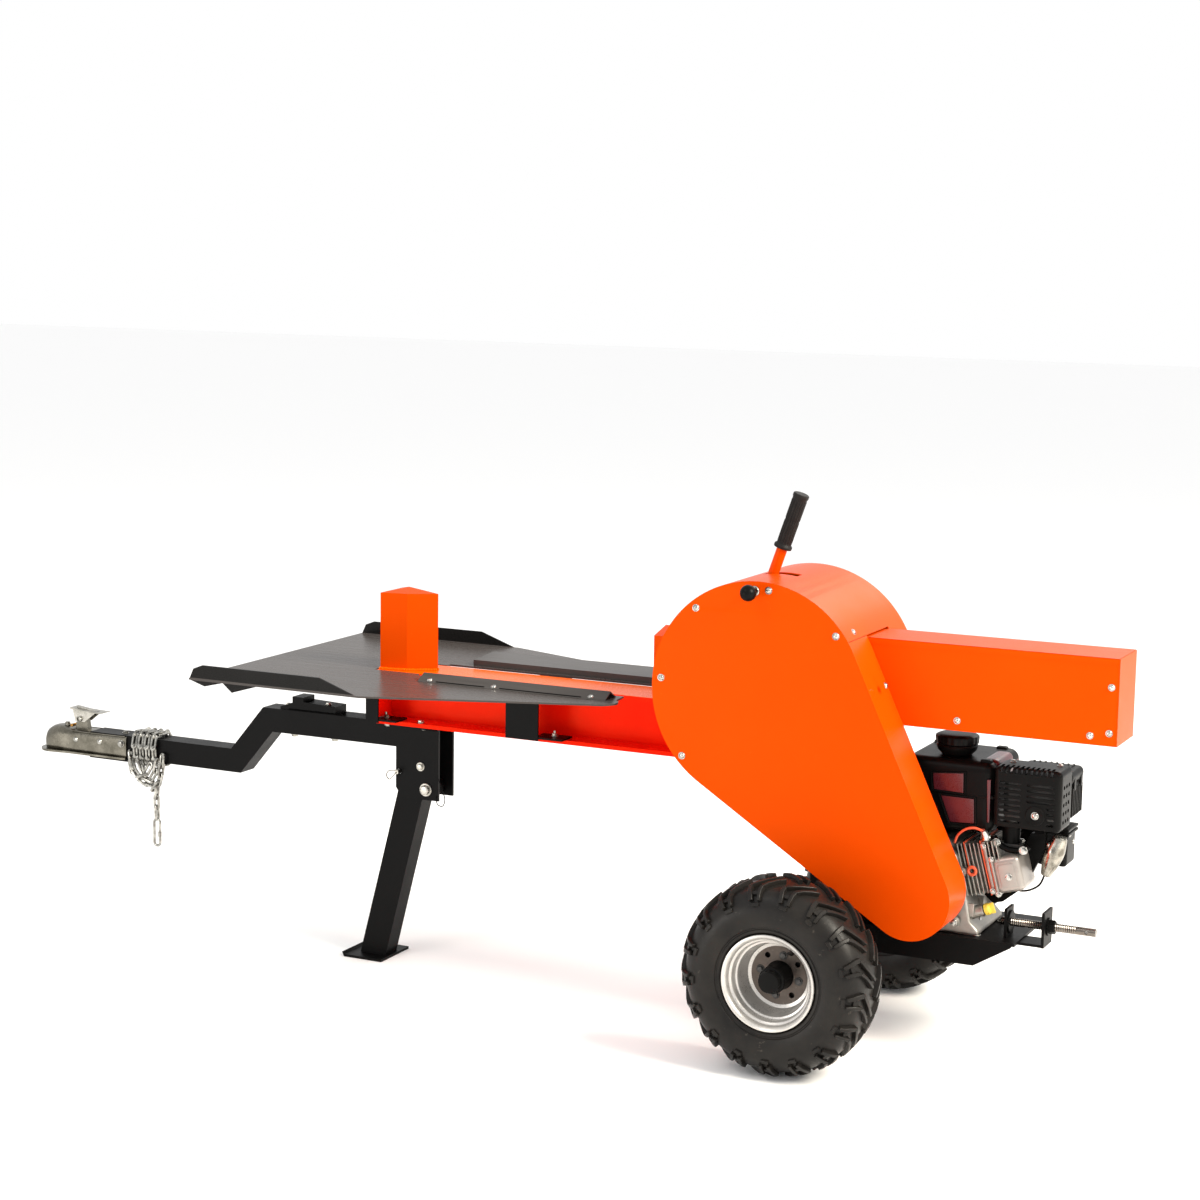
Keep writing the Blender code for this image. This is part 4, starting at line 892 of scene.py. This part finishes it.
def frame_bolts():
    heads = []
    for side in (-1, 1):
        out = (0, side, 0)
        heads.append(hex_bolt((-1.001, side * 0.0362, 0.474), out, 0.008))
        heads.append(hex_bolt((-0.993, side * 0.0495, 0.5783), UP, 0.0068))
        heads.append(hex_bolt((-0.987, side * 0.0358, 0.422), out, 0.0118))
        for x in mm(-1080, -985):
            heads.append(hex_bolt((x, side * 0.0495, 0.5688), (0, 0, -1), 0.0068))
        for x in mm(-1084, -655):
            heads.append(hex_bolt((x, side * 0.0495, 0.5824), UP, 0.0066))
            heads.append(rod((x, side * 0.0495, 0.586), (x, side * 0.0495, 0.5945), 0.0032, 12))
        for x, z in mm((-150, 540), (20, 540), (-40, 290), (70, 290)):
            heads.append(hex_bolt((x, side * 0.0522, z), out, 0.0075))
    for x, z in mm((-1372, 575.5), (-1262, 587)):
        heads.append(hex_bolt((x, -0.01, z), UP, 0.006))
        heads.append(hex_bolt((x + 0.02, -0.014, 0.5118), (0, 0, -1), 0.0075))
    fasteners(heads, "frame_bolts", ZINC)
    bright, slits = [], []
    for x in mm(-918, -759, -524):
        bright.append(pan_screw((x, -0.1425, 0.6976), (0, -0.47, 0.88), 0.005))
    for start, end in mm((-900, -780), (-742, -545)):
        slits.append(wire([(start, -0.1462, 0.6958), (end, -0.1462, 0.6958)], 0.0012, 2))
    fasteners(bright, "guide_screws")
    piece(merged(slits), "guide_slits", BLACK)
    clip = smooth_path(
        mm(
            (-1058, -49, 457), (-1064, -52, 449), (-1074, -52, 440), (-1083, -50, 448), (-1078, -49, 458),
            (-1066, -50, 461), (-1050, -52, 464),
        ),
        6,
    )
    piece(wire(clip, 0.0013, 3), "leg_pin_clip", ZINC)
    lanyard = smooth_path(
        mm(
            (-957, -36, 455), (-946, -37, 430), (-938, -36, 405), (-945, -34, 388), (-958, -35, 392),
            (-960, -37, 410),
        ),
        6,
    )
    piece(wire(lanyard, 0.0011, 3), "lock_pin_lanyard", BLACK)


def weld_bead(path, radius=0.0042, step=0.0035):
    """A rippled weld along a path, as overlapping rings of metal."""
    path = [Vector(p) for p in path]
    dots = []
    for a, b in zip(path, path[1:]):
        count = max(2, int((b - a).length / step))
        for i in range(count):
            dots.append((a + (b - a) * i / count, (b - a).normalized()))
    bm = bmesh.new()
    for spot, heading in dots:
        size = radius * (0.9 + 0.2 * random.random())
        made = bmesh.ops.create_icosphere(bm, subdivisions=2, radius=size)["verts"]
        turn = aimed(spot, heading) @ Matrix.Diagonal((1, 1, 0.62, 1))
        bmesh.ops.transform(bm, matrix=turn, verts=made)
    return from_bmesh(bm)


def welds():
    base_z = 0.6935
    side = [(-1.1, -0.051, base_z), (-1.038, -0.0395, base_z), (-0.978, -0.002, base_z)]
    piece(merged([weld_bead(side), weld_bead([(x, -y, z) for x, y, z in side])]), "wedge_weld", BEAM_PAINTED_SHADE)
    beads = [weld_bead([(-1.066, s * 0.0365, 0.562), (-0.957, s * 0.0365, 0.562)], 0.003) for s in (-1, 1)]
    beads.append(weld_bead(mm((-1360, -24, 569), (-1215, -24, 569)), 0.003))
    for s in (-1, 1):
        beads.append(weld_bead([(-0.195, s * 0.053, 0.566), (0.05, s * 0.053, 0.566)], 0.003))
    piece(merged(beads), "frame_welds", BLACK)


# ---------------------------------------------------------------- lever, knob and screw


def lever_pieces():
    lean = Vector((sin(radians(19)), 0, cos(radians(19))))
    root = Vector(mm(-196, -30, 865))
    profile = mm((0, 121.5), (15, 121.5), (17, 120), (17.2, 115), (15.5, 110))
    profile += mm((15.3, 10), (19, 6), (19.6, 3), (19, 0), (12.1, 0), (12.1, 113), (0, 113))
    grip = lathe(profile, 72)
    bm = bmesh.new()
    bm.from_mesh(grip.data)
    bmesh.ops.subdivide_edges(
        bm, edges=[e for e in bm.edges if e.calc_length() > 0.08 and e.verts[0].co.xy.length > 0.015],
        cuts=24,
    )
    for vert in bm.verts:
        if 0.011 < vert.co.z < 0.109 and vert.co.xy.length > 0.015:
            a = math.atan2(vert.co.y, vert.co.x)
            rib = 0.0006 * (1 if sin(a * 18) > 0 else -1)
            groove = 0.0009 if abs(vert.co.z - 0.062) < 0.003 else 0
            scale = 1 + (rib - groove) / 0.0153
            vert.co.x *= scale
            vert.co.y *= scale
    bm.to_mesh(grip.data)
    bm.free()
    piece(placed(grip, root + lean * 0.1775, lean), "ribbed_grip", RUBBER, "lever", stands_for="lever_grip")
    knob = lathe(
        [
            (0, 0.017), *[(0.017 * sin(radians(a)), 0.017 * cos(radians(a))) for a in range(10, 160, 8)],
            (0.0062, -0.017), (0.0062, -0.022), (0.005, -0.023), (0.005, -0.052), (0, -0.052),
        ],
        48,
    )
    piece(placed(knob, mm(-139, -212, 959), NEAR), "ball_knob", PLASTIC, "knob", stands_for="lock_knob")
    collar = lathe(mm((5.7, 4), (9, 4), (10.5, 2.5), (10.5, 0), (5.7, 0)), 32, closed=True)
    piece(placed(collar, (-0.139, GUARD_FACE, 0.959), NEAR), "knob_collar", ZINC)


def adjuster():
    """The belt tension screw with its rolled thread, nuts and cross hole."""
    z = 0.291
    pitch, depth, sides = 0.0044, 0.0016, 24
    bm = bmesh.new()
    rings = []
    start, end = 0.354, 0.512
    steps = int((end - start) / pitch * 8)
    for i in range(steps + 1):
        x = start + (end - start) * i / steps
        ring = []
        for k in range(sides):
            phase = (i / 8 - k / sides) % 1
            r = 0.0076 + depth * (1 - abs(phase * 2 - 1))
            a = 2 * math.pi * k / sides
            ring.append((x, r * cos(a), z + r * sin(a)))
        rings.append(ring)
    skin(bm, rings)
    bmesh.ops.recalc_face_normals(bm, faces=bm.faces)
    thread = from_bmesh(bm)
    tip = rod((0.511, 0, z), (0.551, 0, z), 0.0086, 32)
    tip = bevelled(cut(tip, rod((0.532, -0.02, z), (0.532, 0.02, z), 0.003, 20)), 0.0008, 2, 50)
    piece(merged([thread, tip]), "tension_thread", THREAD_STEEL, "adjuster", stands_for="tension_screw")
    nut = lathe(mm((8, 13), (12.5, 13), (15, 11.2), (15, 0), (8, 0)), 6, closed=True)
    washer = lathe(mm((8, 2.5), (18.5, 2.5), (18.5, 0), (8, 0)), 40, closed=True)
    nuts = [placed(nut, (0.455, 0, z), ALONG), placed(washer, (0.4524, 0, z), ALONG)]
    piece(merged(nuts), "tension_nut", BLACK, "adjuster")
    disc = lathe(mm((9, 4), (22.5, 4), (24, 3), (24, 0), (9, 0)), 48, closed=True)
    piece(placed(disc, (0.3722, 0, z), ALONG), "tension_thrust_washer", BLACK)


# ---------------------------------------------------------------- engine

TILT = radians(15)


def along_cylinder(distance, offset=0.0):
    c, s = cos(TILT), sin(TILT)
    return (CRANK[0] + distance * c - offset * s, CRANK[1] + distance * s + offset * c)


def engine_block():
    floor = 0.2623
    case = [(0.11, floor), (0.318, floor), (0.318, floor + 0.01), (0.3, 0.29)]
    case += [along_cylinder(0.075, -0.048), along_cylinder(0.075, 0.048), (0.235, 0.452), (0.15, 0.452)]
    case += mm((122, 400), (116, 290), (110, 276))
    block = sheet(case, -0.045, 0.13, 0.006, 3)
    side_cover = arc(CRANK, 0.078, 20, 330, 40)
    side_cover = sheet(side_cover, -0.052, -0.04, 0.003, 2)
    filler = lathe(mm((0, 40), (12.8, 40), (13.5, 36), (12, 30), (15, 0), (0, 0)), 32)
    filler = placed(filler, mm(285.5, -20, 300.2), (0.9383, 0, 0.3457))
    ribs = [rounded_box((0.2855, y, 0.3), (0.3055, y + 0.006, 0.328), 0.002, 2) for y in mm(-38, 30, 85)]
    feet = [
        rounded_box((x, -0.0445, floor), (x + 0.03, -0.03, floor + 0.013), 0.003, 2) for x in mm(115, 285)
    ]
    spots = mm((270, 290), (280, 395), (150, 300))
    boss = mm((0, 8), (9, 8), (11, 0), (0, 0))
    bosses = [placed(lathe(boss, 24), (x, -0.052, z), NEAR) for x, z in spots]
    whole = merged([block, side_cover, filler, *ribs, *feet, *bosses])
    piece(whole, "crankcase", ALLOY, stands_for="engine_block")
    heads = [hex_bolt((x, -0.06, z), NEAR, 0.0058) for x, z in spots]
    heads += [hex_bolt(mm(312, -36, 262.5), UP, 0.0075), hex_bolt(mm(328.5, 90, 262.5), UP, 0.0075)]
    heads.append(hex_bolt(mm(301, 10, 280), (1, 0, 0.3), 0.007))
    fasteners(heads, "crankcase_bolts")
    cap = lathe(mm((0, 12.5), (8.5, 12.5), (10, 11), (11.8, 10), (12.5, 8), (12.5, 1), (11, 0), (0, 0)), 10)
    wing = rounded_box(mm(-11.5, -2.2, 11), mm(11.5, 2.2, 20.5), 0.0018, 2)
    piece(
        placed(merged([cap, wing]), mm(324.5, -20, 314.6), (0.9383, 0, 0.3457)), "dipstick_cap", YELLOW,
        "dipstick", stands_for="oil_dipstick",
    )


def slab(start, end, bottom, top, low, high):
    """A block between two distances along the cylinder and two offsets across it."""
    corners = ((start, bottom), (end, bottom), (end, top), (start, top))
    return sheet([along_cylinder(*corner) for corner in corners], low, high)


def cylinder_and_head():
    barrel = [bevelled(slab(0.07, 0.128, -0.034, 0.05, -0.016, 0.076), 0.006, 2)]
    for i in range(6):
        place = 0.0745 + 0.0088 * i
        barrel.append(
            bevelled(slab(place, place + 0.0024, -0.04, 0.071 - 0.001 * i, -0.032, 0.09), 0.0008, 1)
        )
    barrel.append(bevelled(slab(0.1275, 0.135, -0.044, 0.066, -0.031, 0.09), 0.002, 2))
    for i in range(3):
        place = 0.1385 + 0.0085 * i
        barrel.append(bevelled(slab(place, place + 0.0024, 0.02, 0.066, -0.03, 0.09), 0.0008, 1))
    piece(merged(barrel), "finned_cylinder", ALLOY, stands_for="cylinder")
    gaskets = [
        slab(0.1252, 0.1272, -0.0445, 0.07, -0.0325, 0.0905),
        slab(0.1362, 0.1378, -0.0465, 0.03, -0.0325, 0.0905),
    ]
    gaskets.append(slab(0.0905, 0.0922, 0.01, 0.072, -0.0328, 0.06))
    ring = []
    for i in range(20):
        a = radians(18 * i)
        ring.append((0.298 + 0.008 * cos(a), -0.036, 0.396 + 0.008 * sin(a)))
    gaskets.append(wire(ring, 0.0034, 4, cyclic=True))
    piece(merged(gaskets), "sealant_lines", RED_GASKET)
    cover = bevelled(slab(0.138, 0.1965, -0.0455, 0.029, -0.031, 0.062), 0.011, 4)
    rim = bevelled(slab(0.138, 0.143, -0.049, 0.0325, -0.034, 0.066), 0.0015, 2)
    raised = bevelled(slab(0.15, 0.185, -0.034, 0.016, -0.033, -0.025), 0.003, 2)
    piece(merged([cover, rim, raised]), "rocker_cover", GREY_COVER, stands_for="valve_cover")
    x, z = along_cylinder(0.17, -0.012)
    heads = [hex_bolt((x, -0.033, z), NEAR, 0.006)]
    for distance, offset in mm((131, 58), (131, -36), (141.5, -44.5), (141.5, 29)):
        x, z = along_cylinder(distance, offset)
        heads.append(hex_bolt((x, -0.0335, z), NEAR, 0.0046))
    fasteners(heads, "rocker_cover_bolts")
    boot = mm((0, 20), (5, 20), (6.2, 16), (8.5, 6), (11.5, 2), (11.5, 0), (0, 0))
    piece(placed(lathe(boot, 24), mm(323, -32, 470), (-0.15, -0.6, 0.75)), "spark_plug_boot", SCREW_STEEL)
    lead = smooth_path(
        mm((320, -43, 484), (303, -46, 489), (284, -46, 484), (268, -44, 470), (260, -40, 452)), 8,
    )
    piece(wire(lead, 0.0026, 4), "ignition_lead", RED_GASKET)


def exhaust():
    shell = bevelled(box(mm(335, -34, 491.5), mm(476, 56, 620)), 0.012, 3)
    shell = cut(shell, bevelled(box(mm(340, -30, 400), mm(471, 80, 615)), 0.009, 2))
    slots = []
    for row in range(8):
        z = 0.5055 + row * 0.0112
        slots.append(rounded_box((0.347, -0.05, z), (0.393, -0.02, z + 0.0052), 0.002, 1))
        slots.append(
            rounded_box((0.405 if row > 3 else 0.447, -0.05, z), (0.463, -0.02, z + 0.0052), 0.002, 1)
        )
    for row in range(5):
        z = 0.5085 + row * 0.018
        for y in mm(-16, 2, 20):
            slots.append(rounded_box((0.465, y, z), (0.5, y + 0.011, z + 0.008), 0.002, 1))
    for i in range(11):
        x = 0.347 + 0.0105 * i
        slots.append(rounded_box((x, -0.04, 0.6075), (x + 0.0055, -0.008, 0.63), 0.0015, 1))
    shell = bevelled(cut(shell, merged(slots)), 0.0006, 1, 50)
    piece(shell, "louvred_heat_guard", PLASTIC, stands_for="muffler_guard")
    ring = lathe(mm((7.5, 1), (15, 3), (18.5, 3.2), (20, 2), (20.5, -1), (7.5, -4)), 40, closed=True)
    piece(placed(ring, mm(424, -33.5, 525.5), NEAR), "guard_screw_cup", PLASTIC)
    heads = [pan_screw(mm(424, -33.5, 525.5), NEAR, 0.007)]
    heads += [hex_bolt(mm(346, 10, 453.1), UP, 0.0058), hex_bolt(mm(380, 34, 453.1), UP, 0.0058)]
    heads += [hex_bolt(mm(360, 20, 620.1), UP, 0.005), hex_bolt(mm(455, 30, 620.1), UP, 0.005)]
    for x, z in mm((341, 457), (398, 447)):
        heads.append(hex_bolt((x, -0.016, z), NEAR, 0.007))
    saddle = smooth_path(
        mm(
            (332, -10, 468), (341, -10, 457), (355, -10, 447), (376, -10, 443), (398, -10, 447),
            (408, -10, 456),
        ),
        6,
    )
    stub = placed(lathe(mm((0, 52), (18.5, 52), (19.5, 46), (17.5, 0), (0, 0)), 32), mm(362, 18, 444))
    piece(merged([wire(saddle, 0.0062, 5), stub]), "exhaust_flange", BLACK)
    fasteners(heads, "exhaust_bolts")


def carburettor():
    outlet = mm((0, 90), (12, 90), (15, 85), (20, 60), (20.5, 48), (17, 24), (11.5, 4), (9.5, 0), (0, 0))
    outlet = placed(lathe(outlet, 40), mm(436, 20, 392), (0.03, 0, 0.0865))
    flat = rounded_box(mm(436, 6, 434), mm(470, 34, 466), 0.009, 3)
    piece(merged([outlet, flat]), "polished_outlet", POLISHED)
    body = [rounded_box(mm(406, 50, 404), mm(470, 120, 486), 0.008, 3)]
    body += [rounded_box((0.402, 0.046, z), (0.474, 0.124, z + 0.006), 0.002, 2) for z in mm(470, 479)]
    body.append(
        placed(lathe(mm((0, 26), (18, 26), (21, 22), (21, 4), (16, 0), (0, 0)), 32), mm(440, 84, 427.5))
    )
    body.append(placed(lathe(mm((0, 14), (22, 14), (22, 0), (0, 0)), 40), mm(440, 85, 480)))
    body.append(rounded_box(mm(424, 40, 470), mm(428, 100, 489), 0.001, 1))
    stay = mm((396, 470), (428, 474), (426, 440), (403, 388), (383, 352), (342, 318))
    stay += mm((320, 312), (300, 330), (360, 400))
    body.append(sheet(stay, 0.044, 0.058, 0.0015, 2))
    hose = smooth_path(mm((436, 14, 394), (428, 8, 374), (410, 2, 362), (388, 2, 358), (372, 6, 366)), 6)
    body.append(wire(hose, 0.0022, 3))
    piece(merged(body), "intake_body", PLASTIC, stands_for="carburettor")
    fasteners(
        [
            pan_screw(mm(470.2, 70, 470), ALONG, 0.004), pan_screw(mm(470.2, 100, 450), ALONG, 0.004),
            hex_bolt(mm(460, 9.8, 446), NEAR, 0.0045),
        ],
        "carburettor_screws",
    )


def air_cleaner():
    body = rounded_box(mm(352, 62, 495), mm(470, 160, 580), 0.016, 4)
    lid = rounded_box(mm(350, 60, 572), mm(472, 162, 600), 0.012, 4)
    ribs = [
        rounded_box((0.366 + 0.012 * i, 0.075, 0.594), (0.371 + 0.012 * i, 0.15, 0.6022), 0.0015, 2)
        for i in range(8)
    ]
    side_ribs = [
        rounded_box((0.4685, 0.074 + 0.012 * i, 0.505), (0.472, 0.079 + 0.012 * i, 0.566), 0.0014, 1)
        for i in range(7)
    ]
    catches = [rounded_box((0.469, y, 0.56), (0.4728, y + 0.014, 0.585), 0.0015, 2) for y in mm(80, 132)]
    knob = placed(lathe(mm((0, 8), (11, 8), (13, 6), (13, 0), (0, 0)), 12), mm(412, 112, 598))
    piece(
        merged([body, lid, knob, *ribs, *side_ribs, *catches]), "air_cleaner_case", PLASTIC,
        stands_for="air_cleaner",
    )


def fuel_tank():
    body = rounded_box(mm(135, -20, 470.3), mm(332, 178, 619), 0.022, 5)
    seam = rounded_box(mm(134.5, -20.5, 546), mm(332.5, 178.5, 553), 0.002, 2)
    rim = placed(
        lathe(mm((0, 26), (42, 26), (43.5, 23), (40.5, 14), (29, 2), (30, -4), (0, -4)), 48),
        mm(232, 45, 616),
    )
    bosses = [
        rounded_box((x, y, 0.612), (x + 0.024, y + 0.018, 0.6235), 0.004, 2)
        for x, y in mm((296, -4), (150, 140), (286, 140))
    ]
    piece(
        merged([body, seam, rim, *bosses]), "tank_shell", PLASTIC,
        stands_for="fuel_tank",
    )
    upper = mm((203, 588), (268, 594), (269, 553), (206, 555))
    lower = mm((222, 543), (292, 543), (294, 492), (243, 490))
    sliver = mm((318, 586), (326, 587), (326, 498), (321, 497))
    panels = [sheet(shape, -0.0222, -0.018, 0.0012, 2) for shape in (upper, lower, sliver)]
    panels.append(rounded_box(mm(292, 12, 590), mm(333.5, 120, 621.5), 0.014, 4))
    panels += [rounded_box((0.33, 0.02, z), (0.3338, 0.15, z + 0.042), 0.0014, 2) for z in mm(495, 558)]
    piece(merged(panels), "tank_panels", MAROON)
    frames = []
    for shape in (upper, lower):
        middle = Vector((sum(x for x, _ in shape) / 4, sum(z for _, z in shape) / 4))
        grown = [middle + (Vector(corner) - middle) * 1.12 for corner in shape]
        frames.append(wire([(x, -0.021, z) for x, z in grown], 0.0026, 3, cyclic=True))
    piece(merged(frames), "tank_panel_frames", PLASTIC)
    profile = mm((0, 21.5), (34, 21.5), (40, 19.5), (45, 17), (45.8, 14), (44.5, 2), (40, 0), (0, 0))
    cap = lathe(profile, 96)
    for vert in cap.data.vertices:
        if vert.co.xy.length > 0.043:
            wave = 1 - 0.03 * (0.5 + 0.5 * cos(20 * math.atan2(vert.co.y, vert.co.x)))
            vert.co.x *= wave
            vert.co.y *= wave
    ridge = rounded_box(mm(-28, -5.5, 18), mm(28, 5.5, 21.4), 0.0016, 2)
    piece(
        placed(merged([cap, ridge]), mm(232, 45, 642.5)), "fuel_cap_fluted", PLASTIC, "filler_cap",
        stands_for="fuel_cap",
    )


def blower():
    profile = mm(
        (0, 0), (118, 0), (118, -50), (114, -58), (102, -65.5), (84, -66.5), (84, -70), (82, -88), (76, -96),
        (66, -99.5), (20, -100), (0, -100),
    )
    shell = placed(lathe(profile, 80), (CRANK[0], 0.1305, CRANK[1]), NEAR)
    shell = cut(shell, box((0, 0, 0), mm(500, 400, 262.3)), box(mm(0, 0, 470), mm(500, 400, 700)))
    slots = []
    for i in range(18):
        a = radians(20 * i)
        slot = rounded_box(mm(30, -2.6, -104), mm(62, 2.6, -92), 0.0015, 1)
        slot.data.transform(
            Matrix.Translation(
                (CRANK[0], 0.1305, CRANK[1])
            ) @ aimed((0, 0, 0), NEAR) @ Matrix.Rotation(a, 4, "Z")
        )
        slots.append(slot)
    shell = bevelled(cut(shell, merged(slots)), 0.0008, 1, 50)
    panel = rounded_box(mm(295, 134, 412), mm(385, 172, 466), 0.004, 2)
    piece(merged([shell, panel]), "blower_shell", PLASTIC, stands_for="blower_housing")
    heads = []
    for degrees in (20, 110, 160, 340):
        x, z = arc(CRANK, 0.106, degrees, degrees, 1)[0]
        heads.append(hex_bolt((x, 0.1905, z), (0.0, 1, 0), 0.0052))
    for degrees in (45, 165, 285):
        x, z = arc(CRANK, 0.074, degrees, degrees, 1)[0]
        heads.append(hex_bolt((x, 0.2262, z), FAR, 0.0046))
    fasteners(heads, "blower_bolts")
    handle = rounded_box(mm(119, 218.5, 444.5), mm(181, 233.5, 459.5), 0.006, 4)
    piece(handle, "pull_handle", RUBBER, "starter", stands_for="starter_handle")
    guide = placed(
        lathe(mm((3, 12), (6, 12), (9, 4), (9, 0), (3, 0)), 24, closed=True), mm(158, 221, 438.5),
        (-0.49956, 0.24978, 0.82927),
    )
    piece(guide, "rope_guide", ZINC)


# ---------------------------------------------------------------- finishes on the carried-over nodes

FINISHES = {
    ORANGE: "wedge push_block rack_cover rack_cover_end control_lever",
    # The beam's material carries painted shade and the log table's a painted sheen.
    BEAM_PAINTED_SHADE: "beam",
    BLACK: "table_bracket_front_near table_bracket_front_far table_bracket_rear_near table_bracket_rear_far "
    "tongue tongue_saddle leg_bracket jack_leg axle frame_post engine_base lever_bracket",
    TABLE_PAINTED_SHEEN: "log_table",
    GUIDE_SHEET: "log_guide_near log_guide_far",
    COUPLER_STEEL: "coupler",
    ZINC: "leg_lock_pin rack pinion_shaft press_roller return_spring throttle_lever",
    CAST: "flywheel_near flywheel_far driven_pulley pillow_bearing_near pillow_bearing_far clutch_pulley "
    "muffler",
    PLASTIC: "engine_switch",
    RUBBER: "drive_belt",
}


def finish_nodes():
    for material, names in FINISHES.items():
        for name in names.split():
            obj = NODES[name]
            if not obj.material_slots:
                obj.data.materials.append(material)
            for entry in obj.material_slots:
                entry.material = material


add_camera()
add_studio()
finish_nodes()
wheel(-1, "near")
wheel(1, "far")
guards()
cover_screws()
chains()
coupler_details()
frame_bolts()
welds()
lever_pieces()
adjuster()
engine_block()
cylinder_and_head()
exhaust()
carburettor()
air_cleaner()
fuel_tank()
blower()
